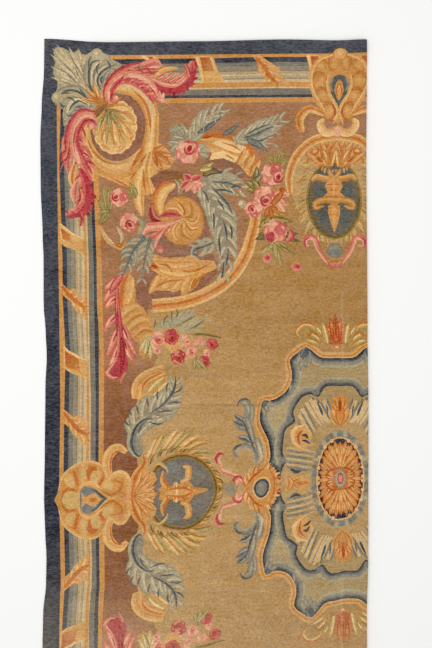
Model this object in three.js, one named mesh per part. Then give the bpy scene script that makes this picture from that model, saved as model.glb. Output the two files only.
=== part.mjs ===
// A large Savonnerie carpet, hand knotted in wool, lying on a floor and folded under along one long side.
// Millimetres. X runs across the folded carpet, Y along it and Z up, from the middle of its footprint.
// It is one cloth: the upper layer shows, and the rest is turned under at the fold, pile side out.
import * as THREE from 'three';

// Driving dimensions
const carpetWidth = 3861;
const carpetLength = 5850;
const thickness = 8;
const showingWidth = 2112;
const layerGap = 2;
const foldHeight = 26;
const foldRiseWidth = 160;
const stepWidth = 84;
const edgeClearance = 6;
const waveHeight = 1.6;

// How far each edge wanders from a straight line, as hand-woven edges do, along the other axis.
const outerEdge = [
  { at: -2925, shift: 12 },
  { at: -1800, shift: 8 },
  { at: -1027, shift: 5 },
  { at: -810, shift: 9 },
  { at: -600, shift: 28 },
  { at: -440, shift: 31 },
  { at: -260, shift: 22 },
  { at: -60, shift: 15 },
  { at: 250, shift: 20 },
  { at: 680, shift: 24 },
  { at: 870, shift: 33 },
  { at: 1020, shift: 26 },
  { at: 1215, shift: 12 },
  { at: 1500, shift: 12 },
  { at: 1650, shift: 6 },
  { at: 1995, shift: -7 },
  { at: 2288, shift: -9 },
  { at: 2500, shift: 0 },
  { at: 2725, shift: 15 },
  { at: 2925, shift: 17 },
];
const foldEdge = [
  { at: -2925, shift: 5 },
  { at: -1000, shift: -1 },
  { at: -780, shift: -2 },
  { at: -455, shift: 9 },
  { at: 450, shift: 11 },
  { at: 1100, shift: 3 },
  { at: 2200, shift: -7 },
  { at: 2925, shift: -1 },
];
const farEnd = [
  { at: -1056, shift: 6 },
  { at: -640, shift: -18 },
  { at: -60, shift: -12 },
  { at: 540, shift: 0 },
  { at: 850, shift: -6 },
  { at: 1056, shift: 0 },
];
const nearEnd = [
  { at: -1056, shift: -6 },
  { at: -300, shift: 8 },
  { at: 500, shift: -2 },
  { at: 1056, shift: 4 },
];

// Old fold lines that still stand a little proud of the upper layer.
const lengthwiseCrease = { at: 891, height: 3, halfWidth: 26 };
const crossCreases = [
  { at: 1540, height: 2, halfWidth: 30 },
  { at: 552, height: 3, halfWidth: 26 },
  { at: -650, height: 2, halfWidth: 30 },
];

// Lines of the grid that the cloth is drawn on
const lengthwiseLines = 27;
const plainColumns = 8;
const stepColumns = 5;
const riseColumns = 4;
const foldColumns = 8;
const underColumns = 5;

function ease(share) {
  const t = Math.min(Math.max(share, 0), 1);
  return t * t * (3 - 2 * t);
}

function spread(from, to, count) {
  const values = [];
  for (let i = 0; i < count; i += 1) {
    values.push(from + ((to - from) * i) / count);
  }
  return values;
}

function wander(rows, at) {
  const next = rows.findIndex((row) => row.at >= at);
  if (next === 0) {
    return rows[0].shift;
  }
  if (next < 0) {
    return rows[rows.length - 1].shift;
  }
  const a = rows[next - 1];
  const b = rows[next];
  return a.shift + (b.shift - a.shift) * ease((at - a.at) / (b.at - a.at));
}

function ridge(crease, at) {
  return crease.height * (1 - ease(Math.abs(at - crease.at) / crease.halfWidth));
}

// Places worked out from the sizes above, across the carpet
const outerX = -showingWidth / 2;
const foldX = showingWidth / 2;
const foldRadius = (foldHeight - thickness) / 2;
const foldCentreX = foldX - thickness / 2 - foldRadius;
const turnedUnder = carpetWidth - (foldCentreX - outerX) - Math.PI * foldRadius;
const hiddenEdgeX = foldCentreX - turnedUnder;
const stepEndX = hiddenEdgeX - edgeClearance;
const stepStartX = stepEndX - stepWidth;
const riseStartX = foldCentreX - foldRiseWidth;
const layerRise = thickness + layerGap;
const foldRise = foldHeight - thickness - layerRise;

// Height of the upper layer's middle at rest, without its waves and creases
function upperHeight(x) {
  const step = layerRise * ease((x - stepStartX) / stepWidth);
  const rise = foldRise * ease((x - riseStartX) / foldRiseWidth);
  return thickness / 2 + step + rise;
}

function upperSlope(x) {
  const span = 2;
  return (upperHeight(x + span) - upperHeight(x - span)) / (2 * span);
}

// Low waves and old fold lines, which fade out before the fold
function relief(x, y) {
  const wave = 0.5 + 0.5 * Math.sin(x / 210 + 1.1) * Math.cos(y / 390 + 0.4);
  const crossing = crossCreases.reduce((sum, crease) => sum + ridge(crease, y), 0);
  const inland = ease((x - outerX) / 300) * ease((foldCentreX - x) / 90);
  return (waveHeight * wave + ridge(lengthwiseCrease, x) + crossing) * inland;
}

// The cloth's middle line across the carpet, from its outer edge to the edge that is turned under.
// Each column has a place, the direction out of the pile, and how much of the relief it takes.
function clothColumns() {
  const upper = [
    ...spread(outerX, stepStartX, 3),
    ...spread(stepStartX, stepEndX, stepColumns),
    ...spread(stepEndX, lengthwiseCrease.at - lengthwiseCrease.halfWidth, plainColumns),
    lengthwiseCrease.at - lengthwiseCrease.halfWidth,
    lengthwiseCrease.at,
    ...spread(lengthwiseCrease.at + lengthwiseCrease.halfWidth, foldCentreX, riseColumns),
  ];
  const columns = upper.map((x) => {
    const tilt = Math.atan(upperSlope(x));
    return { x, z: upperHeight(x), outX: -Math.sin(tilt), outZ: Math.cos(tilt), lift: 1 };
  });
  for (let i = 0; i <= foldColumns; i += 1) {
    const turn = Math.PI / 2 - (Math.PI * i) / foldColumns;
    const outX = Math.cos(turn);
    const outZ = Math.sin(turn);
    const z = thickness / 2 + foldRadius * (1 + outZ);
    columns.push({ x: foldCentreX + foldRadius * outX, z, outX, outZ, lift: 0 });
  }
  const under = [...spread(foldCentreX, hiddenEdgeX, underColumns), hiddenEdgeX].slice(1);
  under.forEach((x) => columns.push({ x, z: thickness / 2, outX: 0, outZ: -1, lift: 0 }));
  return columns;
}

// Lines along the carpet, evenly spaced and with three at each cross crease
function clothRows() {
  const half = carpetLength / 2;
  const rows = spread(-half, half, lengthwiseLines);
  rows.push(half);
  const clearOfCreases = rows.filter((y) => (
    crossCreases.every((crease) => Math.abs(y - crease.at) > 2 * crease.halfWidth)
  ));
  crossCreases.forEach((crease) => {
    clearOfCreases.push(crease.at - crease.halfWidth, crease.at, crease.at + crease.halfWidth);
  });
  return clearOfCreases.sort((a, b) => a - b);
}

// One point of the cloth: side is 1 on the pile and -1 on the back.
function clothPoint(column, y, side) {
  const reach = column.lift ? (column.x - outerX) / showingWidth : 1;
  const half = carpetLength / 2;
  const shiftX = wander(outerEdge, y) * (1 - reach) + wander(foldEdge, y) * reach;
  const endShift = y > 0 ? wander(farEnd, column.x) : wander(nearEnd, column.x);
  const shiftY = endShift * ease((Math.abs(y) / half - 0.6) / 0.4);
  const heave = column.lift ? relief(column.x, y) : 0;
  return [
    column.x + shiftX * (0.75 + 0.25 * column.outZ) + (column.outX * side * thickness) / 2,
    y + shiftY,
    column.z + heave + (column.outZ * side * thickness) / 2,
  ];
}

// The whole cloth as one closed body: pile, back, two long edges and two ends
function clothGeometry() {
  const columns = clothColumns();
  const rows = clothRows();
  const positions = [];
  [1, -1].forEach((side) => {
    rows.forEach((y) => {
      columns.forEach((column) => positions.push(...clothPoint(column, y, side)));
    });
  });
  const layer = rows.length * columns.length;
  const pile = (row, column) => row * columns.length + column;
  const back = (row, column) => layer + pile(row, column);
  const index = [];
  const quad = (a, b, c, d) => index.push(a, b, c, a, c, d);
  const lastRow = rows.length - 1;
  const lastColumn = columns.length - 1;
  for (let row = 0; row < lastRow; row += 1) {
    for (let column = 0; column < lastColumn; column += 1) {
      const r = row + 1;
      const c = column + 1;
      quad(pile(row, column), pile(row, c), pile(r, c), pile(r, column));
      quad(back(row, column), back(r, column), back(r, c), back(row, c));
    }
    quad(pile(row, 0), pile(row + 1, 0), back(row + 1, 0), back(row, 0));
    quad(back(row, lastColumn), back(row + 1, lastColumn), pile(row + 1, lastColumn), pile(row, lastColumn));
  }
  for (let column = 0; column < lastColumn; column += 1) {
    quad(back(0, column), back(0, column + 1), pile(0, column + 1), pile(0, column));
    quad(
      pile(lastRow, column),
      pile(lastRow, column + 1),
      back(lastRow, column + 1),
      back(lastRow, column),
    );
  }
  const geometry = new THREE.BufferGeometry();
  geometry.setAttribute('position', new THREE.Float32BufferAttribute(positions, 3));
  geometry.setIndex(index);
  geometry.computeVertexNormals();
  return geometry;
}

const woolPile = new THREE.MeshStandardMaterial({ color: 0xa97a4c, roughness: 0.95, metalness: 0 });

const carpet = new THREE.Mesh(clothGeometry(), woolPile);
carpet.name = 'rug';

const group = new THREE.Group();
group.add(carpet);

export default group;
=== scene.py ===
import math

import bmesh
import bpy
import numpy as np
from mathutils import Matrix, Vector
from mathutils.geometry import delaunay_2d_cdt


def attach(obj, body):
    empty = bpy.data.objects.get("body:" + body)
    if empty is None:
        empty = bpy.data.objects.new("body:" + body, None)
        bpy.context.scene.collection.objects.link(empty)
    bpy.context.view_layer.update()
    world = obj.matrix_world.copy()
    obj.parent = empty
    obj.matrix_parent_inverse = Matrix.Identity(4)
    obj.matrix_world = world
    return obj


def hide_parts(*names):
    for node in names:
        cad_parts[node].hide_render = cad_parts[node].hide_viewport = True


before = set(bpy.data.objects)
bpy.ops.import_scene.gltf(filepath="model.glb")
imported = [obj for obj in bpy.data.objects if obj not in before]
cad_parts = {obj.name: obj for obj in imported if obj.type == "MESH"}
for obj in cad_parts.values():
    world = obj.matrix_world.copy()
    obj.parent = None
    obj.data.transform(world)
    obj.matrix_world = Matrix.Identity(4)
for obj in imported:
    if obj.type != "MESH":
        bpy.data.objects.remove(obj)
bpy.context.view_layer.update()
bpy.context.scene.view_settings.view_transform = "Standard"

# The cloth's own sizes, in millimetres, as in the CAD part
cloth = {
    "width": 3861.0,
    "length": 5850.0,
    "thickness": 8.0,
    "showing": 2112.0,         # outer edge to fold
    "layerGap": 2.0,
    "foldHeight": 26.0,
    "foldRise": 160.0,
    "stepWidth": 84.0,
    "edgeClearance": 6.0,
    "waveHeight": 1.6,
    "waveLengths": (210.0, 390.0),                # across and along, each over a radian
    "pucker": 0.4,                                # fine unevenness of the pile
    "puckerLengths": (61.0, 133.0, 47.0, 97.0),
    "edgeRound": 0.35,         # how much thinner the pile is at its very edge
    "edgeRoundReach": 5.0,
    "selvedge": 1.5,           # how far the overcast edge stands out
    "square": 6.5,             # one square of the weaver's cartoon
}
# How far each edge wanders from straight: (place along it, shift), millimetres
outerEdge = [(-2925, 12), (-1800, 8), (-1027, 5), (-810, 9), (-600, 28), (-440, 31), (-260, 22),
             (-60, 15), (250, 20), (680, 24), (870, 33), (1020, 26), (1215, 12), (1500, 12),
             (1650, 6), (1995, -7), (2288, -9), (2500, 0), (2725, 15), (2925, 17)]
foldEdge = [(-2925, 5), (-1000, -1), (-780, -2), (-455, 9), (450, 11), (1100, 3), (2200, -7), (2925, -1)]
farEnd = [(-1056, 6), (-640, -18), (-60, -12), (540, 0), (850, -6), (1056, 0)]
nearEnd = [(-1056, -6), (-300, 8), (500, -2), (1056, 4)]
# Old fold lines: (place, height, half width), millimetres
lengthCrease = (891, 3.0, 26)
crossCreases = [(1540, 2.0, 30), (552, 3.0, 26), (-650, 2.0, 30)]
# Drift of the weaving, in squares: (square along the carpet, shift)
axisDrift = [(0, 1), (75, 0), (150, -4.5), (285, -4.5), (380, -1), (450, -0.5), (560, 3.5), (650, 5),
             (900, 0)]
sideDrift = [(0, 0), (120, 0.3), (230, 0.6), (350, 1), (560, 1), (900, 0)]
# How much lower the near half of the pattern sits than a true mirror: (square across, squares)
slant = [(0, 20), (42, 20), (72, 15), (95, 10), (135, 4), (178, -3), (202, -1), (219, 7), (255, 10),
         (285, 3), (300, 0)]


# The wools, as sRGB hex: blues and grays, naturals, golds, grounds, reds and greens
wool = {
    "ink": "343640", "shadow": "41444a", "navy": "494b51", "dusk": "4c5059", "slate": "595a53",
    "smoke": "695f50", "plum": "756a5c", "steel": "7b796f", "flint": "7c7365", "stone": "93856c",
    "sage": "a69a7a", "pale": "b39c74", "cream": "caad82", "linen": "c3b08c", "chalk": "d2bb92",
    "bark": "8a5c32", "rust": "a54a1e", "orange": "bd6c33", "ochre": "b0783c", "gold": "c58b4c",
    "amber": "cf9a5c", "wheat": "cba467", "honey": "d9aa6c", "straw": "e0b980",
    "brick": "8a5a3c", "mulberry": "90624a", "rosewood": "a27350", "drab": "a3895d", "tan": "a87e4b",
    "sand": "b99360",
    "wine": "8a2b29", "garnet": "9a3322", "crimson": "ab3d41", "brickred": "b8483f", "cerise": "c16357",
    "rose": "d08568", "blush": "dfa284",
    "moss": "6f5826", "olive": "8c743a", "leaf": "a99659",
}

# One quarter of the cartoon, in squares; u runs in from the outer edge, v from the end
halfU = 297
halfV = 450
shapes = []


# Lays one shape over those before it; a second tone fades in from start to end
def lay(outline, tone, endTone=None, start=None, end=None):
    shapes.append((np.asarray(outline, float), tone, endTone or tone, start, end))


# A smooth line through the points
def curve(points, steps=4):
    p = np.asarray(points, float)
    if len(p) == 2:
        return np.linspace(p[0], p[1], steps + 1)
    ends = np.vstack([2 * p[0] - p[1], p, 2 * p[-1] - p[-2]])
    out = []
    for i in range(1, len(ends) - 2):
        a, b, c, d = ends[i - 1:i + 3]
        for t in np.arange(steps) / steps:
            out.append(0.5 * (2 * b + (c - a) * t + (2 * a - 5 * b + 4 * c - d) * t * t
                              + (3 * b - a - 3 * c + d) * t ** 3))
    out.append(p[-1])
    return np.array(out)


# Which way a line runs at each of its points, and which way lies to its left
def across(path):
    run = np.gradient(path, axis=0)
    run /= np.maximum(np.linalg.norm(run, axis=1, keepdims=True), 1e-9)
    return run, np.stack([-run[:, 1], run[:, 0]], 1)


def at(path, share):
    spot = share * (len(path) - 1)
    i = min(int(spot), len(path) - 2)
    return path[i] + (path[i + 1] - path[i]) * (spot - i)


# A band along a line, from one share of its half width to another
def strip(path, halfWidth, low, high, tone):
    normal = across(path)[1]
    w = np.broadcast_to(halfWidth, len(path))[:, None]
    left = path + normal * w * high
    right = path + normal * w * low
    lay(np.vstack([left, right[::-1]]), tone)


# Part of a line from one share of it to another, and the half width of a leaf there, from 0 to 1
def leafPart(path, first, last, count):
    shares = np.linspace(first, last, count)
    return np.array([at(path, s) for s in shares]), np.sin(np.pi * shares ** 0.75) ** 0.8


# A tapered stroke; its tones run from the left hand to the right hand of its way
def stroke(width, tones, *points, ends=(0, 0), steps=4):
    path = curve(points, steps)
    t = np.linspace(0, 1, len(path))
    least = np.where(t < 0.5, ends[0], ends[1])
    body = np.maximum(width * (least + (1 - least) * np.sin(np.pi * t) ** 0.7), 0.12)
    tones = tones.split()
    cuts = np.linspace(-1, 1, len(tones) + 1)
    for low, high, tone in zip(cuts, cuts[1:], tones):
        strip(path, body, low, high, tone)


def strokes(width, tones, *paths, ends=(0, 0)):
    for points in paths:
        stroke(width, tones, *points, ends=ends)


# A pointed leaf in three tones: its edge, its body and a light that leans to one side
def blade(path, width, tones, lean, steps):
    dark, mid, light = tones
    line, body = leafPart(path, 0, 1, steps)
    strip(line, width * body + 0.02, -1, 1, dark)
    line, body = leafPart(path, 0.1, 0.9, steps - 1)
    strip(line, width * body, -0.62, 0.62, mid)
    strip(line[:-1], width * body[:-1], lean - 0.3, lean + 0.25, light)


def leaf(width, tones, *points, lean=0.25):
    blade(curve(points, 4), width, tones.split(), lean, 8)


def leaves(width, tones, *paths):
    for points in paths:
        leaf(width, tones, *points)


# A long leaf of many lobes along a stalk
def plume(width, tones, lobes, *points, sides=(1, -1), rib="", fat=0.3, swing=1.0, ends=(0.1, 0.92),
          taper=(0.75, 0.5), under=""):
    path = curve(points, 8)
    run, normal = across(path)
    n = len(path) - 1
    t = np.linspace(0, 1, len(path))
    stalk = width * 0.5 * (1 - t) ** 0.6
    strip(path, stalk, min(0, *sides), max(0, *sides), under or tones.split()[1])
    for k in reversed(range(lobes)):
        share = ends[0] + (ends[1] - ends[0]) * k / max(lobes - 1, 1)
        i = int(round(share * n))
        long = width * np.interp(share, (0, 0.35, 1), (taper[0], 1, taper[1]))
        for side in sides:
            out, go, base = normal[i] * side, run[i], path[i]
            lobe = curve([base, base + go * 0.3 * long * swing + out * 0.5 * long,
                          base + go * 0.85 * long * swing + out * 0.85 * long,
                          base + go * 1.35 * long * swing + out * 0.78 * long], 3)
            blade(lobe, long * fat, tones.split(), -0.3 * side, 6)
    if rib:
        for low, high, tone in zip((-1, -0.4), (1, 0.4), rib.split()):
            strip(path, width * 0.16 * (1.05 - t), low, high, tone)


# Leaves that spring from one place
def tuft(width, tones, base, *tips, bend=0.0):
    base = np.asarray(base, float)
    for k, tip in enumerate(tips):
        way = np.asarray(tip, float) - base
        side = np.array([-way[1], way[0]]) * bend * (k - (len(tips) - 1) / 2)
        leaf(width, tones, base, base + way * 0.5 + side, tip)


def disc(tone, centre, rx, ry=None, turn=0.0, count=14):
    a = np.linspace(0, 2 * math.pi, count, endpoint=False)
    x = rx * np.cos(a)
    y = (ry or rx) * np.sin(a)
    c, s = math.cos(turn), math.sin(turn)
    lay(np.stack([centre[0] + x * c - y * s, centre[1] + x * s + y * c], 1), tone)


def arc(tone, centre, rx, ry, first, last, width):
    a = np.radians(np.linspace(first, last, 5))
    stroke(width, tone, *np.stack([centre[0] + rx * np.cos(a), centre[1] + ry * np.sin(a)], 1), steps=2)


# Slivers that stand out along a path, like the edge of a feather
def barbs(reach, fat, tones, count, *points, side=1, lean=1.0, first=0.08, last=0.92):
    path = curve(points, 6)
    run, normal = across(path)
    tones = tones.split()
    for k, share in enumerate(np.linspace(first, last, count)):
        i = int(round(share * (len(path) - 1)))
        long = reach * (0.85 + 0.25 * math.cos(5 * k))
        out = normal[i] * side
        way = curve([path[i], path[i] + (out * 0.7 + run[i] * lean * 0.4) * long,
                     path[i] + (out + run[i] * lean) * long], 3)
        body = fat * np.array([0.7, 1, 1, 0.8, 0.5, 0.3, 0.05])
        strip(way, body, -1, 1, tones[k % len(tones)])


# An open rose seen from the front; its heart may sit to one side
def rose(centre, r, turn=0.0, tones="crimson cerise rose blush garnet", heart=(0.1, 0.1)):
    edge, deep, mid, light, core = tones.split()
    petalTurn = 1.257  # a fifth of a turn
    for k in range(5):
        a = turn + 0.6 + petalTurn * k
        spot = (centre[0] + 0.66 * r * math.cos(a), centre[1] + 0.66 * r * math.sin(a))
        disc((light, deep)[k % 2], spot, 0.34 * r, 0.3 * r, a, 7)
    for k in range(5):
        a = turn + petalTurn * k
        spot = (centre[0] + 0.5 * r * math.cos(a), centre[1] + 0.5 * r * math.sin(a))
        facing = math.degrees(a)
        disc((mid, light, mid, light, deep)[k], spot, (0.46 + 0.03 * k) * r, 0.46 * r, a, 9)
        arc(deep, spot, 0.44 * r, 0.42 * r, facing - 70 + 25 * k, facing + 20 + 25 * k, 0.07 * r)
        arc(light, spot, 0.24 * r, 0.24 * r, facing - 50, facing + 40, 0.1 * r)
    spot = (centre[0] + heart[0] * r, centre[1] + heart[1] * r)
    disc(mid, spot, 0.42 * r, 0.44 * r, turn, 10)
    facing = math.degrees(turn)
    arc(edge, spot, 0.4 * r, 0.44 * r, facing - 20, facing + 190, 0.1 * r)
    arc(light, spot, 0.27 * r, 0.3 * r, facing + 150, facing + 330, 0.08 * r)
    disc(edge, spot, 0.2 * r, 0.3 * r, turn, 9)
    disc(core, (spot[0] + 0.05 * r, spot[1] + 0.04 * r), 0.12 * r, 0.2 * r, turn, 8)


# Nested frames of the border, from the outer edge in; the outermost darkens along the side
def frames():
    lay([(0, 0), (298, 0), (298, 451), (0, 451)], "navy", "ink", (0, 40), (0, 440))
    for du, dv, tone in ((14.7, 13, "gold"), (18.7, 17, "shadow"), (23.3, 22, "flint"), (25.2, 24, "steel"),
                         (26, 24.8, "flint"), (27.5, 26, "stone"), (31, 30.3, "flint"),
                         (31.8, 31.2, "pale"), (34.2, 34, "cream"), (35.2, 35.4, "pale"),
                         (36.8, 37.8, "stone"), (37.6, 39, "cream"), (40.8, 42, "gold"),
                         (43.3, 46.8, "cream"), (45, 48.4, "flint"), (50, 54.3, "shadow"), (53, 57, "gold"),
                         (58, 62, "rosewood")):
        lay([(du, dv), (298, dv), (298, 451), (du, 451)], tone)


frames()
borderShapes = len(shapes)


def cornerFan():
    lay([(58, 10), (48, 9), (40, 15), (33, 9), (28, 14), (23, 10), (18, 8), (11, 8), (9, 14), (12, 20),
         (10, 27), (9, 35), (14, 41), (14, 50), (11, 57), (18, 63), (22, 66), (21, 76), (23, 86), (34, 82),
         (50, 70), (60, 58), (66, 40), (74, 30), (78, 22), (68, 17)], "sage")
    tuft(3.4, "pale linen chalk", (46, 48), (39, 12), (34, 7), (29, 11), (24, 6), (17, 8), (12, 5), (8, 9),
         (6, 15), (9, 20), (6, 27), (9, 32), (7, 38), (13, 42))
    barbs(5, 0.8, "linen pale chalk", 8, (46, 46), (34, 30), (33, 8), side=-1, lean=1.2, last=0.72)
    barbs(5, 0.8, "linen sage chalk", 8, (44, 46), (26, 28), (14, 8), side=1, lean=1.2, last=0.72)
    barbs(5, 0.8, "linen pale chalk", 8, (44, 46), (24, 32), (8, 18), side=-1, lean=1.2, last=0.72)
    barbs(5, 0.8, "linen sage chalk", 8, (42, 48), (24, 40), (8, 34), side=1, lean=1.2, last=0.72)
    tuft(3, "sage pale chalk", (42, 34), (38, 14), (44, 15), (48, 17))
    tuft(3, "sage pale chalk", (34, 46), (12, 38), (16, 46), (17, 52))
    strokes(0.6, "flint", ((38, 41), (33, 32), (31, 26)), ((34, 44), (28, 38), (22, 35)),
            ((44, 40), (39, 30), (36, 22)), ((31, 47), (25, 43), (18, 42)), ((40, 38), (30, 22), (26, 14)),
            ((38, 42), (24, 28), (14, 20)), ((36, 44), (24, 34), (12, 28)))
    # gray lobes on the right
    leaf(7.4, "stone sage pale", (52, 54), (46, 38), (48, 22), (60, 14), (68, 20), lean=0.4)
    leaf(6.4, "stone sage linen", (56, 52), (54, 38), (60, 27), (74, 21), lean=-0.3)
    strokes(1.2, "slate slate", ((51, 50), (46, 42), (45, 31), (48, 21), (56, 18)),
            ((58, 48), (54, 40), (56, 32), (63, 26), (70, 23)), ends=(0.3, 0.2))
    strokes(0.9, "steel", ((60, 44), (59, 37), (62, 31)), ((63, 42), (63, 36), (68, 28)),
            ((51, 40), (50, 31), (54, 24)))
    stroke(1, "chalk", (49, 44), (48, 32), (51, 24), (60, 18))
    # and on the left, with its tail down the border
    leaf(7.4, "stone sage pale", (54, 62), (38, 52), (24, 52), (14, 60), (22, 70), lean=-0.4)
    leaf(6.4, "stone sage linen", (52, 66), (38, 62), (28, 68), (22, 86), lean=0.3)
    strokes(1.2, "slate slate", ((49, 61), (41, 54), (32, 50), (23, 51), (18, 56)),
            ((46, 64), (38, 60), (31, 64), (27, 71)), ends=(0.3, 0.2))
    strokes(0.9, "steel", ((45, 66), (38, 65), (31, 68)), ((42, 60), (34, 57), (26, 57)),
            ((40, 68), (33, 70), (27, 76)))
    stroke(1, "chalk", (44, 62), (36, 58), (28, 62), (24, 70))
    strokes(0.9, "slate slate", ((62, 18), (66, 22), (66, 28)), ((56, 20), (53, 26), (54, 33)),
            ((70, 26), (72, 30), (66, 36)), ((59, 33), (57, 38), (59, 42)), ((17, 62), (20, 66), (25, 66)),
            ((24, 58), (29, 58), (34, 62)), ((24, 74), (28, 76), (33, 73)), ((33, 66), (37, 66), (41, 68)),
            ((47, 14), (45, 20), (44, 27)), ((17, 54), (23, 53), (29, 53)))
    for spot, light in (((53, 12), "sage"), ((15, 58), "leaf")):
        disc("sage", spot, 5.8)
        disc("pale", spot, 4.6)
        disc(light, (spot[0] + 1, spot[1] + 1.4), 2.8, 1.6)
        disc("linen", (spot[0] - 1, spot[1] - 1), 2.2)
    tuft(3, "ochre amber honey", (57, 61), (37, 57), (41, 43), (51, 40), (67, 37))
    tuft(1, "orange rust orange", (57, 61), (41, 58), (45, 50), (52, 48))
    stroke(1, "slate", (46, 58), (36, 47))
    stroke(1, "slate", (51, 52), (44, 43))
    disc("bark", (57, 59), 3)
    stroke(2.4, "orange ochre", (53, 64), (58, 58), (66, 60))


# A ribbon wound round the border band: its two edges, and where its orange shade ends
def plainWrap(upper, lower, core):
    lay([*upper, *lower[::-1]], "honey", "amber", upper[0], upper[-1])
    lay(core, "rust", "gold", core[0], core[2])
    stroke(1.3, "straw honey", *upper, ends=(1, 0.6))
    stroke(1.3, "amber honey", *lower, ends=(1, 0.6))


# The same with a leaf laid along each side of a midrib
def leafyWrap(upper, rib, lower):
    lay([*upper, *lower[::-1]], "amber")
    for k in range(3):
        near, far = at(curve(rib), 0.15 + 0.25 * k), at(curve(rib), 0.5 + 0.25 * k)
        over, under = at(curve(upper), 0.4 + 0.27 * k), at(curve(lower), 0.35 + 0.27 * k)
        leaf(2.4, "gold honey blush", near, (near + over) / 2 + (far - near) * 0.3, over)
        leaf(2.4, "gold honey straw", near, (near + under) / 2 + (far - near) * 0.3, under)
    stroke(2, "orange", *rib, ends=(0.6, 0.4))
    barbs(5, 0.5, "orange ochre", 5, *rib, side=1, lean=1.6)
    barbs(5, 0.5, "ochre orange", 5, *rib, side=-1, lean=1.6)


def wraps():
    plainWrap([(98, 14.5), (106, 19), (112, 25)], [(110, 14.5), (115, 20), (119, 27)],
              [(104, 15), (112, 15), (116, 26), (110, 22)])
    leaf(4, "orange amber straw", (112, 36), (120, 28), (132, 28))
    plainWrap([(152, 15), (156, 26), (159, 38), (160, 42)], [(168, 15), (172, 26), (176, 34), (182, 42)],
              [(156, 16), (166, 16), (171, 30), (160, 30)])
    leafyWrap([(216, 15), (226, 22), (236, 28), (238, 36), (246, 44)],
              [(212, 17), (221, 27), (227, 37), (236, 44)], [(208, 15), (214, 22), (215, 31), (220, 37),
                                                             (227, 43)])
    plainWrap([(264, 15), (267, 26), (269, 40)], [(276, 15), (279, 26), (281, 40)],
              [(267, 16), (276, 16), (279, 30), (270, 30)])
    plainWrap([(17, 184), (24, 190), (32, 196), (41, 199)], [(17, 200), (22, 205), (30, 208), (36, 211),
                                                             (41, 216)],
              [(18, 188), (20, 199), (29, 203), (27, 194)])
    leafyWrap([(17, 242), (25, 250), (30, 248), (35, 253), (41, 259)],
              [(18, 246), (26, 256), (33, 262), (41, 268)], [(17, 252), (22, 258), (27, 261), (28, 266),
                                                             (33, 272), (41, 280)])
    plainWrap([(17, 307), (22, 312), (28, 315), (34, 319), (41, 321)],
              [(17, 326), (24, 331), (32, 334), (41, 338)], [(18, 310), (19, 327), (34, 332), (31, 317)])
    leafyWrap([(17, 368), (24, 374), (28, 377), (33, 375), (38, 380), (42, 384)],
              [(18, 372), (25, 381), (33, 390), (42, 395)], [(17, 382), (24, 388), (27, 394), (33, 399),
                                                             (42, 409)])


def straps():
    lay([(56, 120), (50, 132), (60, 136), (92, 150), (108, 156), (116, 150), (118, 130), (130, 128),
         (136, 118), (122, 104), (110, 100), (96, 112), (76, 124)], "amber")
    stroke(4.5, "honey leaf honey", (54, 122), (72, 130), (88, 125), (102, 108), ends=(0.4, 0.3))
    stroke(1.3, "orange ochre", (58, 132), (76, 136), (92, 134))
    stroke(3, "gold amber orange", (68, 136), (84, 142), (96, 152))
    stroke(8, "amber gold honey straw honey amber gold", (111, 70), (111, 94), (108, 116), (100, 134),
           (98, 158), (101, 176), ends=(0.7, 0.2))
    stroke(1.5, "orange", (106, 114), (97, 128), (90, 140), ends=(0.2, 0.2))
    stroke(4, "amber honey gold", (112, 112), (109, 130), (112, 154), ends=(0.8, 0.3))
    stroke(1.2, "orange", (103, 128), (104, 142), (106, 154))
    tuft(3.2, "orange ochre amber", (112, 112), (137, 116), (134, 126), (124, 132), (126, 104))
    tuft(1.6, "orange rust orange", (114, 110), (130, 120), (118, 128))


def scrollRosette():
    lay([(110, 138), (122, 130), (150, 132), (168, 138), (170, 200), (178, 232), (160, 250), (140, 260),
         (108, 262), (98, 282), (92, 250), (104, 226), (108, 190), (116, 150)], "mulberry")
    disc("ochre", (142, 181), 23, 25, 0, 20)
    disc("gold", (142, 181), 21.4, 23.6, 0, 20)
    for k in range(9):
        a = math.radians(-150 + 42 * k)
        rim = (142 + 20 * math.cos(a), 181 + 22 * math.sin(a))
        mid = (142 + 12 * math.cos(a + 0.5), 181 + 12 * math.sin(a + 0.5))
        stroke(2.8, ("amber honey", "honey gold", "amber ochre")[k % 3], (144, 178), mid, rim)
        stroke(0.6, ("orange", "rust", "ochre")[k % 3], (143, 178), mid, rim)
    stroke(7, "amber honey honey gold orange", (136, 144), (124, 150), (118, 162), (120, 176),
           ends=(0.3, 0.3))
    stroke(1.8, "rust orange", (116, 152), (122, 143), (134, 138))
    stroke(3.4, "rose crimson wine crimson", (110, 166), (112, 178), (122, 182))
    stroke(3.4, "cerise crimson cerise", (120, 176), (130, 174), (142, 176), ends=(0.3, 0.1))
    stroke(4.6, "rose blush rose", (140, 180), (124, 186), (106, 188), (100, 198))
    stroke(2.4, "cerise rose", (132, 184), (118, 194), (100, 198))
    stroke(3, "blush rose cerise", (124, 188), (114, 200), (112, 210))
    disc("cerise", (118, 209), 3.6)
    disc("rose", (119, 211), 2.2)
    stroke(3.6, "leaf olive sage", (135, 138), (142, 144), (140, 156))
    stroke(3.4, "stone sage leaf", (96, 178), (101, 184), (96, 196))


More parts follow.
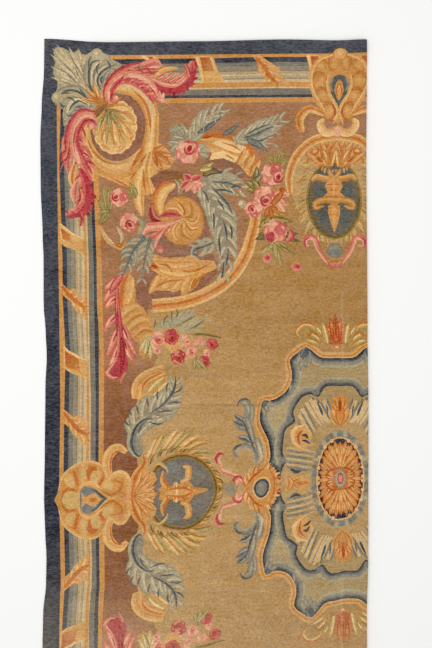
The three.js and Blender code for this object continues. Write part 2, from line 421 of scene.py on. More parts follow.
def ladderArch():
    lay([(166, 118), (184, 116), (204, 124), (214, 138), (196, 138), (176, 134)], "mulberry")
    stroke(11.5, "orange amber gold amber", (154, 99), (172, 102), (190, 106), (206, 116), (217, 134),
           ends=(0.4, 0.5))
    lay([(172, 103), (180, 99), (194, 102), (207, 107), (203, 114), (188, 110)], "straw")
    lay([(170, 120), (173, 113), (184, 111), (200, 117), (196, 123), (184, 118)], "straw")
    stroke(0.9, "orange", (182, 102), (194, 106), (202, 111))
    stroke(0.9, "ochre", (186, 114), (196, 120))
    for spot in ((206, 107), (213, 112), (219, 118)):
        stroke(1.1, "orange ochre", spot, (spot[0] - 5, spot[1] + 9), (spot[0] - 8, spot[1] + 19))
        stroke(2.2, "honey amber", (spot[0] + 3, spot[1] + 2), (spot[0] - 3, spot[1] + 16))
    stroke(2, "orange rust", (152, 96), (166, 96), (174, 94))


def sageLeaves():
    for root, tips in (((150, 101), ((126, 86), (132, 83), (139, 82), (128, 96))),
                       ((140, 104), ((126, 102), (130, 112), (136, 122)))):
        tuft(4.4, "stone sage chalk", root, *tips)
        tuft(1.2, "flint stone sage", root, *tips)
    plume(10, "stone sage linen", 6, (150, 102), (157, 89), (167, 78), (181, 68), fat=0.32, swing=1.5,
          ends=(0.05, 0.9))
    leaf(2.6, "slate slate steel", (156, 93), (168, 86), (181, 76))
    barbs(5, 0.6, "steel sage", 5, (158, 94), (168, 88), (182, 76), side=-1)
    tuft(4, "stone sage pale", (156, 108), (170, 118), (172, 110), (166, 104))
    plume(10, "stone sage linen", 7, (194, 101), (210, 94), (226, 87), (242, 79), fat=0.32, swing=1.4,
          ends=(0.05, 0.9))
    plume(6.4, "steel sage pale", 4, (206, 101), (220, 97), (237, 92), fat=0.34, swing=1.4)
    plume(6, "steel sage pale", 3, (208, 100), (222, 102), (236, 104), fat=0.32, swing=1.4, sides=(1,))
    leaf(3.4, "slate steel steel", (206, 99), (217, 104), (229, 112))
    stroke(1.8, "slate steel", (204, 98), (216, 95), (226, 90), (233, 86), ends=(0.6, 0.1))
    stroke(1, "slate", (208, 98), (220, 101), (230, 96))
    leaf(2.6, "slate steel steel", (182, 95), (190, 90), (200, 82))
    stroke(1, "slate", (204, 96), (216, 89), (230, 84))
    leaf(4, "shadow moss olive", (164, 136), (172, 131), (184, 133))
    tuft(3.4, "olive leaf straw", (160, 130), (176, 122), (174, 128))
    for root, tips in (((68, 172), ((56, 160), (56, 174), (62, 144), (56, 184), (70, 144))),
                       ((96, 158), ((86, 148), (90, 142)))):
        tuft(4, "olive leaf sage", root, *tips)
        tuft(1, "moss olive leaf", root, *tips)
    plume(10, "steel sage pale", 6, (104, 197), (90, 212), (80, 236), under="steel", rib="slate steel")
    plume(9, "stone sage pale", 5, (109, 198), (103, 216), (99, 242), under="stone", rib="slate stone")


def posies():
    leaf(5, "brick brick bark", (112, 141), (130, 135), (154, 138))
    tuft(4, "rose cerise crimson", (152, 140), (140, 150), (160, 152), (164, 136), (144, 134))
    tuft(3.4, "rose blush rose", (154, 142), (146, 152), (156, 154), (166, 146))
    rose((148, 112), 13, 0.4, heart=(0.12, -0.3))
    rose((78, 158), 9.5, 1.0, heart=(-0.3, -0.1))
    rose((87, 182), 10, 2.2, heart=(0.1, 0.3))
    stroke(2.4, "honey pale amber", (58, 186), (62, 196), (72, 206), (82, 206))
    stroke(2.2, "orange amber", (70, 204), (78, 208), (84, 200))
    stroke(2, "pale cream", (74, 186), (80, 196), (78, 204))


wraps()
straps()


def palmette():
    stroke(9, "amber honey amber gold", (44, 78), (44, 100), (52, 117), (68, 128), (84, 128), (98, 118),
           ends=(0.8, 1))
    stroke(8, "gold honey cream honey amber gold", (72, 46), (90, 47), (104, 58), (110, 76),
           ends=(0.6, 0.9))
    stroke(2, "orange", (104, 104), (98, 116), (90, 130))
    stroke(1.4, "orange", (88, 46), (102, 60), (108, 76), (110, 92))
    stroke(1.2, "orange ochre", (46, 96), (52, 110), (64, 121), (80, 124))
    disc("mulberry", (77, 87), 27.5, 34, 0.1, 24)
    for k in range(11):
        a = math.radians(-70 + 24 * k)
        disc("straw", (74 + 15.5 * math.cos(a), 86 + 21 * math.sin(a)), 7.2, 7.4, a, 10)
    for k in range(11):
        a = math.radians(-70 + 24 * k)
        disc(("amber", "honey")[k % 2], (74 + 14.5 * math.cos(a), 86 + 20 * math.sin(a)), 6.4, 6.6, a, 10)
    disc("wheat", (74, 86), 16, 22, 0.1, 18)
    lay([(50, 66), (60, 58), (70, 55), (80, 55), (74, 64), (64, 70), (58, 80), (52, 88), (48, 78)], "ochre")
    tuft(5, "gold honey straw", (66, 68), (92, 68), (95, 84), (92, 100), (80, 110), (64, 108), (54, 96),
         bend=0.01)
    tuft(1.2, "orange ochre amber", (68, 70), (90, 72), (90, 90), (84, 102), (74, 108), (60, 102))
    tuft(1.6, "olive leaf pale", (68, 70), (86, 80), (84, 93), (69, 92), (66, 104), bend=0.02)
    tuft(1.2, "slate olive leaf", (64, 68), (78, 70), (76, 84), (66, 84), (58, 90))
    stroke(3, "mulberry bark", (50, 80), (56, 71), (66, 61))
    stroke(2.4, "amber leaf", (56, 92), (56, 80), (62, 72))


# From its curl along the top band to the hooked tip
def crimsonLeafOver():
    stroke(5.5, "rose cerise blush", (98, 26), (110, 22), (118, 24), ends=(1, 0))
    for tip in ((117, 29), (113, 35)):
        stroke(3.4, "cerise rose crimson", (86, 30), (100, 29), tip)
    stroke(9, "blush rose cerise", (104, 36), (112, 48), (120, 62), ends=(0.7, 0.1))
    stroke(2.4, "honey amber", (106, 38), (122, 28), (136, 27))
    stroke(8, "rose cerise crimson crimson", (106, 37), (118, 43), (132, 45), (144, 39), (150, 20),
           ends=(0.2, 0.4))
    barbs(5, 1.3, "crimson wine crimson", 12, (112, 44), (124, 50), (138, 50), (148, 42), (151, 26), side=1,
          lean=0.5)
    for root, tip in (((112, 38), (124, 30)), ((118, 40), (132, 29)), ((124, 41), (139, 30)),
                      ((131, 42), (143, 31))):
        leaf(1.7, "crimson rose blush", root, ((root[0] + tip[0]) / 2 + 1, (root[1] + tip[1]) / 2 + 1), tip)
    stroke(2, "blush rose", (108, 37), (120, 43), (134, 44), (144, 36), ends=(0.4, 0.1))
    stroke(2.2, "cerise rose crimson", (146, 36), (144, 28), (141, 22), ends=(1, 0.1))
    stroke(2, "cerise crimson", (150, 30), (152, 24), (149, 18))
    stroke(3.6, "crimson cerise rose", (64, 58), (63, 48), (67, 38), (76, 29), (87, 24), (98, 21),
           ends=(0.6, 0.2))
    barbs(7, 0.9, "cerise crimson rose", 8, (80, 29), (92, 25), (106, 27), side=1, lean=2.2)
    stroke(4.4, "rose blush blush", (71, 61), (66, 54), (69, 43), (78, 35), (92, 33), (105, 39), (114, 51),
           ends=(0.7, 0.5))
    stroke(3.6, "cerise crimson cerise", (70, 56), (70, 47), (76, 40), (86, 39), (97, 44), (106, 53),
           (112, 63), ends=(0.5, 0.1))
    barbs(7, 1, "crimson rose cerise", 11, (74, 42), (84, 40), (96, 45), (106, 54), side=-1, lean=1.6)
    barbs(6, 0.7, "rose blush", 6, (98, 40), (108, 50), (116, 60), side=-1, lean=2)
    strokes(0.6, "crimson", ((72, 46), (80, 38), (92, 37), (102, 42)), ((104, 42), (111, 50), (116, 58)),
            ((90, 29), (102, 27), (114, 27)), ((94, 32), (104, 31), (112, 33)))
    disc("cerise", (72, 57), 4.6)
    disc("rose", (73, 57), 3.4)
    disc("blush", (74, 56), 2)
    stroke(1.2, "crimson", (69, 50), (69, 56), (71, 58))


# The same leaf down the left band
def crimsonLeafDown():
    stroke(6.5, "blush rose cerise rose", (38, 100), (44, 122), (52, 142), ends=(0.8, 0.1))
    stroke(5, "rose cerise rose", (26, 98), (26, 112), (28, 134), ends=(0.9, 0.2))
    for root, tip in (((30, 104), (24, 126)), ((36, 106), (34, 128)), ((40, 104), (52, 128)),
                      ((38, 100), (52, 118))):
        stroke(3, "cerise rose blush", root, tip)
        stroke(0.8, "crimson", root, tip)
    barbs(7, 0.9, "cerise rose crimson", 10, (31, 88), (27, 106), (26, 124), side=1, lean=2)
    stroke(4, "amber orange honey", (34, 124), (31, 138), (33, 148), ends=(0.5, 0.2))
    stroke(7.6, "crimson crimson cerise rose", (38, 128), (44, 144), (44, 158), (38, 170), (24, 176),
           ends=(0.3, 0.3))
    barbs(5, 1.3, "crimson wine crimson", 13, (44, 138), (50, 150), (50, 160), (46, 170), (38, 176),
          side=-1, lean=0.4)
    barbs(6, 1, "crimson rose cerise", 8, (38, 132), (42, 150), (38, 166), side=1, lean=1)
    stroke(3.4, "cerise rose blush", (36, 140), (32, 152), (33, 164))
    stroke(2.2, "rose crimson", (38, 146), (40, 158), (34, 168))
    barbs(4, 0.9, "crimson cerise rose", 7, (40, 170), (32, 174), (24, 173), side=1, lean=0.6)
    stroke(2, "cerise crimson", (38, 172), (40, 180), (37, 187), ends=(1, 0.1))
    stroke(4, "rose cerise crimson", (53, 72), (40, 71), (31, 82), (27, 98), (26, 112), ends=(0.6, 0.3))
    stroke(4.6, "blush blush rose", (53, 82), (50, 75), (40, 77), (34, 90), (33, 108), (38, 124),
           ends=(0.5, 0.4))
    stroke(3.6, "cerise crimson cerise", (51, 80), (44, 80), (38, 90), (38, 104), (44, 120), (52, 134),
           ends=(0.5, 0.1))
    barbs(7, 1, "crimson rose cerise", 11, (41, 84), (38, 98), (42, 114), (48, 126), side=-1, lean=1.8)
    strokes(0.6, "crimson", ((36, 84), (33, 98), (34, 114)), ((40, 84), (36, 100), (40, 118)),
            ((29, 98), (28, 112), (28, 124)))
    disc("cerise", (51, 84), 5)
    disc("rose", (51, 85), 3.6)
    disc("blush", (50, 86), 2.2)
    stroke(1.2, "crimson", (44, 79), (51, 79), (54, 84))


palmette()
cornerFan()
crimsonLeafOver()
crimsonLeafDown()


def grounds():
    lay([(58, 322), (104, 322), (104, 345), (96, 380), (96, 452), (58, 452)], "rosewood", "brick",
        (75, 324), (75, 362))
    lay([*curve([(298, 92), (280, 95), (262, 103), (252, 116), (246, 132), (228, 150), (212, 168),
                 (208, 205), (194, 232), (170, 252), (140, 265), (110, 268), (103, 282), (108, 300),
                 (112, 318), (100, 340), (88, 372), (84, 396), (91, 416), (94, 436), (90, 452)], 3),
         (298, 452)], "tan", "sand", (250, 260), (130, 400))


def goldArc():
    stroke(6.8, "honey gold orange amber honey", (219, 168), (215, 190), (205, 218), (188, 240), (164, 255),
           (138, 263), (110, 266), ends=(0.6, 1))


def grayAcanthus():
    plume(10, "stone sage pale", 3, (176, 202), (166, 206), (154, 209), under="stone")
    stroke(2.4, "slate steel sage", (180, 199), (166, 205), (155, 208), (152, 214), (160, 218))
    plume(15, "stone sage linen", 10, (160, 140), (169, 154), (178, 170), (184, 190), (187, 212),
          (183, 240), under="stone", swing=1.3, ends=(0.06, 0.95), taper=(0.6, 0.4))
    plume(11, "stone sage linen", 5, (168, 141), (184, 143), (204, 150), under="stone", swing=1.3)
    plume(8, "steel sage pale", 3, (170, 138), (184, 135), (200, 136), swing=1.3)
    stroke(1.6, "slate slate steel", (172, 146), (183, 157), (190, 166), (194, 175))
    stroke(1.2, "slate steel", (174, 142), (188, 143), (203, 147))
    strokes(1.1, "slate dusk", ((164, 150), (168, 156), (170, 163)), ((178, 158), (183, 165), (186, 171)),
            ((184, 180), (187, 190), (188, 202)), ((191, 184), (193, 192), (192, 200)),
            ((174, 172), (175, 181), (174, 190)), ((180, 196), (180, 206), (181, 216)),
            ((189, 208), (188, 217), (186, 226)), ((176, 150), (186, 150), (196, 153)),
            ((184, 222), (183, 232), (181, 240)), ((192, 148), (199, 146), (205, 149)))


def goldLeaves():
    lay([(104, 206), (106, 214), (113, 221), (122, 217), (136, 219), (150, 215), (160, 220), (174, 221),
         (177, 228), (162, 236), (150, 250), (141, 257), (139, 245), (128, 251), (116, 250), (106, 254),
         (110, 243), (120, 236), (110, 230), (102, 220)], "amber")
    leaves(4.6, "gold amber honey", ((104, 214), (122, 222), (146, 217)),
           ((108, 222), (130, 226), (174, 222)), ((112, 228), (140, 234), (172, 226)),
           ((118, 234), (112, 246), (106, 254)), ((130, 236), (124, 246), (116, 250)),
           ((142, 238), (134, 248), (128, 251)), ((150, 236), (143, 246), (141, 257)),
           ((158, 234), (152, 244), (146, 253)))
    stroke(3, "orange rust orange", (104, 222), (111, 226), (116, 228), ends=(0.6, 0.2))
    strokes(1.3, "orange ochre", ((116, 224), (126, 226), (131, 233)), ((139, 231), (154, 231), (171, 223)),
            ((113, 248), (124, 242), (142, 240)), ((151, 250), (158, 239), (170, 231)),
            ((150, 250), (152, 244), (156, 236)))


def garland():
    tuft(3.6, "olive leaf pale", (240, 128), (228, 114), (236, 111), (244, 107), (250, 116))
    tuft(1, "moss olive leaf", (240, 128), (228, 114), (236, 111), (244, 107), (250, 116))
    tuft(4.6, "rose blush sand", (234, 156), (254, 154), (252, 166), (248, 174))
    stroke(1, "cerise", (240, 154), (247, 160), (250, 166))
    disc("rust", (245, 150), 3, 2.6)
    tuft(3.6, "moss olive leaf", (222, 150), (208, 150), (206, 140), (214, 138))
    tuft(3.2, "slate olive sage", (218, 142), (219, 126), (224, 134))
    rose((235, 135), 12, 0.2, heart=(0.5, 0.2))
    rose((227, 158), 12, 1.4, heart=(0.1, 0.25))
    rose((215, 169), 9, 2.6, "crimson cerise rose blush wine", heart=(-0.1, 0.05))
    disc("pale", (204, 164), 4)
    disc("chalk", (203, 163), 2)
    tuft(3.4, "rust orange ochre", (234, 166), (226, 178), (234, 180), (242, 176), (248, 149))
    tuft(3, "ochre olive gold", (236, 172), (252, 176), (246, 180))
    tuft(3, "moss olive leaf", (232, 178), (220, 188), (226, 184), (250, 186), (256, 182))
    tuft(3.2, "slate moss olive", (232, 194), (216, 200), (220, 194), (262, 194), (264, 202))
    tuft(3, "leaf sand blush", (240, 186), (222, 186), (230, 180), (246, 182), (250, 192))
    rose((237, 192), 12.5, 0.8, "crimson cerise rose blush garnet", heart=(-0.3, 0.3))
    disc("crimson", (233, 196), 3.6, 4.6, 0.2, 10)
    stroke(3, "crimson cerise rose", (251, 188), (254, 196), (247, 203))
    tuft(2.8, "olive leaf pale", (236, 202), (220, 216), (228, 212), (243, 230), (238, 222), (258, 215),
         (250, 208))
    stroke(0.8, "moss", (238, 202), (248, 209), (257, 215))
    for spot, r in (((228, 219), 4.4), ((258, 229), 5)):
        disc("rose", spot, r, r * 1.1)
        disc("cerise", (spot[0] + 0.5, spot[1] - 0.5), r * 0.72)
        disc("crimson", (spot[0] + 1, spot[1] - 0.5), r * 0.42)


def topShell():
    lay([(298, 7), (292, 9), (288, 14), (276, 18), (268, 27), (266, 40), (269, 52), (273, 62), (280, 70),
         (292, 80), (298, 84)], "gold")
    for spot, rx, ry, turn in (((277, 25), 8, 6, -0.5), ((277, 41), 8.5, 9, 0.2), ((281, 55), 8, 7, 0.7),
                               ((287, 71), 7, 9, 0.2), ((291, 22), 5.5, 9, 0.1)):
        disc("orange", (spot[0] - 0.8, spot[1] - 1.2), rx, ry, turn)
        disc("ochre", spot, rx, ry, turn)
        disc("gold", (spot[0] + 0.4, spot[1] + 0.6), rx * 0.78, ry * 0.78, turn)
        disc("amber", (spot[0] + 0.6, spot[1] + 0.4), rx * 0.42, ry * 0.46, turn)
    stroke(1.9, "honey amber", (290, 14), (277, 19), (270, 28), (268, 40), (271, 52), (279, 64), (284, 74),
           ends=(0.6, 0.3))
    stroke(1.7, "amber honey", (286, 34), (285, 44), (288, 54), (294, 64), (296, 74), (292, 84),
           ends=(0.4, 0.3))
    lay([(298, 34), (291, 36), (287, 43), (289, 53), (294, 61), (298, 68)], "slate")
    stroke(1.6, "steel stone", (292, 37), (288, 44), (291, 52))
    lay([(298, 38), (294, 42), (292, 50), (295, 58), (298, 62)], "gold")
    stroke(1.4, "honey orange", (298, 42), (295, 50), (297, 58))
    disc("amber", (297, 13), 6, 5.4)
    disc("honey", (297, 12), 3.4, 2.8)
    stroke(1.2, "orange rust", (290, 62), (294, 72), (288, 82))
    stroke(4.4, "honey amber orange gold", (283, 74), (268, 69), (259, 77), (259, 85), (262, 92),
           ends=(0.5, 0.5))
    stroke(4.2, "straw honey amber", (298, 86), (292, 92), (284, 92), (279, 84), (283, 79), ends=(0.5, 0.3))
    disc("blush", (297, 92), 4.4)


def cameo():
    lay([*curve([(298, 97), (280, 100), (264, 112), (256, 132), (254, 152), (262, 172), (272, 190),
                 (284, 200), (298, 204)], 3)], "sand")
    rim = [(276, 112), (270, 132), (268, 156), (271, 176), (280, 192), (297, 200)]
    barbs(11, 0.9, "wheat ochre sand drab amber", 40, *rim, side=1, lean=0.5, first=0.02)
    barbs(7, 0.7, "olive wheat ochre drab", 36, *rim, side=1, lean=0.9, first=0.02)
    disc("olive", (297, 160), 28, 40, 0, 24)
    disc("moss", (297, 160), 26, 38.4, 0, 24)
    disc("smoke", (297, 159), 24.4, 37, 0, 24)
    for spot, rx, ry in (((286, 134), 7, 6), ((286, 152), 8, 7), ((283, 166), 6, 8), ((288, 178), 6, 8)):
        disc("slate", spot, rx, ry, 0.3, 9)
    tuft(5, "orange amber honey", (291, 126), (266, 112), (271, 104), (281, 99), (291, 98), (299, 98))
    tuft(3, "ochre gold straw", (293, 128), (274, 114), (282, 106), (290, 104), (297, 106))
    barbs(5, 1.1, "orange gold amber", 8, (268, 118), (280, 124), (288, 128), (297, 130), side=1, lean=0.2)
    disc("orange", (276, 112), 4.4, 3.6, -0.4)
    disc("honey", (276, 111), 2.4, 1.8, -0.4)
    stroke(1.4, "orange rust", (278, 116), (282, 120), (286, 122))
    stroke(1.2, "orange", (292, 104), (291, 114), (293, 122))
    stroke(4.6, "honey gold orange gold honey", (253, 154), (252, 136), (259, 115), (275, 100), (299, 95),
           ends=(0.5, 1))
    stroke(3.2, "ochre gold amber", (299, 139), (288, 139), (280, 137), (275, 141), ends=(1, 0.4))
    leaf(2.4, "ochre gold amber", (298, 140), (293, 134), (291, 128))
    lay([(298, 138), (290, 141), (288, 147), (291, 152), (286, 157), (290, 163), (298, 165)], "gold")
    for v, reach in ((145, 9), (151, 6), (157, 11)):
        stroke(1.6, "amber orange", (299, v), (298 - reach, v + 0.6), ends=(1, 0.3))
    stroke(1.2, "honey straw", (298, 126), (298, 146), (298, 164), ends=(0.6, 1))
    lay([(298, 163), (291, 166), (291, 174), (294, 185), (298, 195)], "gold")
    lay([(298, 166), (294, 169), (295, 178), (298, 188)], "amber")
    stroke(3.2, "ochre gold amber ochre", (298, 160), (288, 160), (279, 163), (279, 168), (287, 166),
           ends=(1, 0.2))
    stroke(2.8, "cerise rose blush", (275, 206), (268, 206), (268, 199), (276, 198), (281, 210), (288, 222),
           (294, 230))
    stroke(1, "crimson", (268, 208), (267, 201), (272, 197))
    disc("flint", (297, 211), 8)
    disc("stone", (297, 211), 6.4)
    disc("steel", (295, 213), 3.6)
    stroke(3, "rose cerise", (290, 222), (294, 228), (299, 224))


def firstQuarter():
    grounds()
    ladderArch()
    scrollRosette()
    goldArc()
    goldLeaves()
    grayAcanthus()
    sageLeaves()
    cameo()
    topShell()
    posies()
    garland()


firstQuarter()


def crimsonAcanthus():
    for root, mid, tip in (((77, 236), (68, 244), (60, 250)), ((76, 244), (66, 254), (60, 262)),
                           ((75, 256), (67, 262), (61, 270)), ((73, 274), (65, 282), (58, 293)),
                           ((73, 288), (67, 302), (59, 318)), ((73, 304), (68, 318), (62, 328)),
                           ((76, 282), (83, 300), (91, 317)), ((77, 296), (81, 310), (87, 322))):
        leaf(4.6, "cerise rose blush", root, mid, tip)
        stroke(1, "crimson wine", root, ((mid[0] + root[0]) / 2 + 0.5, (mid[1] + root[1]) / 2), mid)
    leaf(4, "crimson cerise rose", (80, 234), (72, 244), (66, 254))
    stroke(3.4, "crimson cerise rose crimson", (74, 246), (74, 270), (75, 296), (77, 318), ends=(0, 1))
    lay([(74, 262), (72, 282), (72, 304), (69, 322), (63, 331), (67, 337), (75, 338), (82, 329), (82, 322),
         (78, 308), (75, 290)], "crimson")
    leaf(2.6, "wine wine crimson", (76, 296), (77, 316), (74, 334))
    stroke(1.4, "cerise rose", (74, 284), (73, 304), (70, 322))
    stroke(2, "blush rose cerise", (70, 320), (62, 329), (60, 334), (66, 338), (72, 337))
    stroke(1.6, "rose cerise", (79, 332), (76, 338), (74, 344), ends=(0.8, 0))


def goldHorn():
    lay([(85, 232), (91, 238), (93, 252), (92, 262), (100, 267), (107, 279), (110, 292), (114, 302),
         (110, 313), (99, 319), (93, 314), (99, 306), (88, 299), (80, 289), (75, 279), (77, 262), (76, 248),
         (79, 238)], "gold")
    stroke(4, "amber gold orange orange", (86, 234), (81, 248), (79, 270), ends=(0.4, 0.3))
    stroke(3.4, "honey amber", (90, 238), (87, 252), (84, 264), ends=(0.3, 0.3))
    for k, (near, mid, far) in enumerate((((76, 278), (86, 269), (96, 266)),
                                          ((79, 284), (90, 275), (101, 272)),
                                          ((83, 290), (94, 281), (105, 280)),
                                          ((89, 296), (99, 288), (109, 290)),
                                          ((96, 302), (104, 296), (112, 299)))):
        stroke(3, ("amber wheat gold", "gold amber ochre")[k % 2], near, mid, far, ends=(0.5, 0.5))
        stroke(0.7, "ochre", (near[0] + 1, near[1] + 3), (mid[0] + 1, mid[1] + 3), (far[0] + 1, far[1] + 3))
    tuft(3.6, "leaf wheat chalk", (106, 296), (93, 312), (98, 319), (105, 321), (112, 316))
    stroke(0.8, "olive", (106, 300), (103, 310), (99, 317))


def posyLeft():
    plume(8, "stone sage pale", 5, (114, 290), (128, 284), (142, 278), (152, 274), fat=0.34, swing=1.2)
    plume(7, "leaf sage pale", 4, (136, 290), (150, 286), (166, 278), fat=0.34, swing=1.2)
    strokes(0.9, "slate olive", ((120, 285), (122, 279), (126, 275)), ((128, 281), (130, 275), (129, 270)),
            ((134, 278), (136, 273), (134, 268)), ((138, 284), (146, 280), (154, 276)),
            ((146, 290), (156, 285), (164, 279)), ((110, 288), (112, 283), (112, 278)))
    stroke(1.4, "olive moss", (150, 295), (162, 294), (182, 298))
    stroke(1.4, "leaf olive", (148, 308), (154, 318), (152, 332))
    lay([(106, 294), (118, 288), (134, 288), (150, 296), (158, 306), (150, 316), (138, 324), (126, 318),
         (112, 312)], "sand")
    lay([(122, 300), (132, 298), (140, 304), (136, 312), (126, 312), (120, 306)], "amber")
    for spot, r, turn, tones in (((114, 299), 8, 1.2, "brickred rose rose blush rust"),
                                 ((128, 297), 8.2, 0, "garnet crimson brickred cerise wine"),
                                 ((143, 301), 7.4, 2, "rose rose blush sand cerise"),
                                 ((157, 302), 6, 0.5, "rose rose blush sand cerise"),
                                 ((170, 304), 6.2, 1.5, "garnet crimson brickred cerise wine"),
                                 ((164, 313), 4, 1, "cerise rose blush blush cerise"),
                                 ((134, 317), 8, 0.8, "garnet crimson brickred rose wine"),
                                 ((148, 312), 6, 2.2, "cerise rose rose blush brickred"),
                                 ((161, 322), 6.6, 0.2, "garnet crimson brickred cerise wine"),
                                 ((112, 310), 4.4, 0.2, "cerise rose blush blush rust")):
        rose(spot, r, turn, tones)
    tuft(2.4, "olive leaf pale", (152, 318), (150, 330), (158, 332), (166, 332))


def grayScrollLeft():
    stroke(7.6, "honey amber gold amber honey gold", (91, 359), (94, 346), (103, 337), (120, 330),
           ends=(0.6, 0.7))
    lay([(99, 360), (100, 349), (107, 341), (120, 336), (128, 338), (127, 348), (118, 358), (106, 365)],
        "sand")
    leaves(4, "gold leaf straw", ((122, 336), (109, 346), (100, 357)), ((127, 339), (115, 350), (104, 361)),
           ((128, 346), (119, 356), (108, 364)))
    stroke(1.2, "orange", (96, 354), (98, 346), (104, 339), (112, 335), (120, 332))
    leaf(3.4, "sand blush sand", (118, 361), (128, 358), (137, 360))
    # one long leaf whose stalk curls round at its foot
    lay([*curve([(104, 380), (94, 386), (89, 398), (91, 409), (97, 411), (106, 404), (112, 392)], 3)],
        "sand")
    plume(16, "stone sage linen", 9, (90, 410), (89, 396), (96, 382), (108, 373), (120, 364), (128, 353),
          (131, 341), fat=0.27, under="stone", swing=1.1, ends=(0.16, 0.95), taper=(0.55, 0.4))
    stroke(4.4, "sage stone steel", (98, 410), (92, 414), (86, 406), (87, 394), (94, 384), (104, 376),
           ends=(0.4, 0.4))
    stroke(1.3, "shadow slate", (108, 378), (99, 379.4), (91, 386), (87, 395), (86, 404), (89, 412),
           (94, 416), (98, 411))
    stroke(1.2, "slate dusk", (104, 374), (117, 365), (127, 354), (131, 344), (131, 335))
    strokes(1, "slate", ((94, 374), (92, 370), (91, 365)), ((87, 376), (84, 372), (83, 368)),
            ((84, 386), (81, 383), (79, 379)), ((104, 367), (102, 362), (102, 357)),
            ((113, 360), (112, 355), (113, 350)), ((122, 352), (122, 347), (124, 343)),
            ((112, 372), (120, 371), (129, 371)), ((122, 364), (130, 362), (137, 363)),
            ((129, 353), (135, 350), (139, 345)), ((98, 384), (95, 388), (93, 394)),
            ((82, 398), (79, 394), (78, 390)), ((104, 382), (112, 384), (119, 383)))
    stroke(1.8, "olive ochre", (109, 397), (108, 407), (103, 415), (98, 420))


def leftShell():
    lay([(10, 452), (12, 447), (16, 444), (17, 436), (20, 432), (26, 429), (30, 425), (38, 422), (50, 422),
         (56, 425), (61, 431), (68, 437), (76, 436), (80, 444), (82, 452)], "gold")
    for spot, rx, ry, turn in (((25, 437), 4.6, 6.4, -0.8), ((38, 431), 4.6, 7.6, 0),
                               ((50, 433), 5.4, 7, 0.1), ((62, 440), 7.4, 4.6, 0.5)):
        disc("amber", spot, rx, ry, turn)
        disc("wheat", (spot[0], spot[1] + 1), rx * 0.7, ry * 0.72, turn)
    stroke(1.6, "honey amber", (13, 447), (18, 434), (29, 426), (38, 422.5), (50, 422.5), (58, 428),
           (66, 437))
    lay([(28, 430), (31, 430), (33, 436), (34, 441), (31, 440), (29, 436)], "orange")
    lay([(41, 429), (44, 426), (50, 425.6), (53, 429), (47, 430), (45, 434), (44.6, 439), (43, 438)],
        "orange")
    lay([(57, 434), (60, 435), (57, 439), (55, 442), (52.6, 440)], "orange")
    lay([(17, 452), (18, 446), (22, 443.6), (34, 444), (36, 452)], "wheat")
    stroke(1.2, "orange ochre", (16, 453), (18, 446.6), (22, 443), (28, 443), (33, 445))
    lay([(35, 452), (35.4, 444), (39, 441), (45, 441), (51, 443), (57, 447), (65, 450.6), (65, 452)],
        "steel")
    stroke(0.9, "slate", (45, 442), (52, 444.6), (58, 448.6), (65, 451))
    stroke(1.5, "honey amber", (34, 446), (36, 441), (43, 438.6), (50, 440), (57, 444.6), (63, 448.8),
           (71, 451), ends=(0.5, 0.8))
    lay([(36, 445), (41, 448), (46, 446), (50, 445.4), (57, 450), (59, 452), (38, 452)], "amber")
    lay([(42, 451), (47, 448.4), (52, 449.4), (53, 452), (43, 452)], "orange")
    stroke(5, "honey amber honey", (66, 436), (62, 428), (62, 418), (67, 410), (74, 407.6), (81, 412),
           ends=(0.5, 0.4))
    stroke(1, "orange", (66, 433), (64.6, 424), (67, 415), (72, 411), (78, 411))
    stroke(4.4, "honey amber gold", (65, 437), (71, 433.6), (78, 434), (83, 441), (81.6, 453),
           ends=(0.3, 0.8))
    stroke(1.2, "orange ochre", (53, 442), (60, 446), (67, 448), (74, 445), (77.6, 440), (73, 438),
           (66, 438))
    disc("rose", (84, 450), 3.4)
    disc("blush", (84, 450), 2)


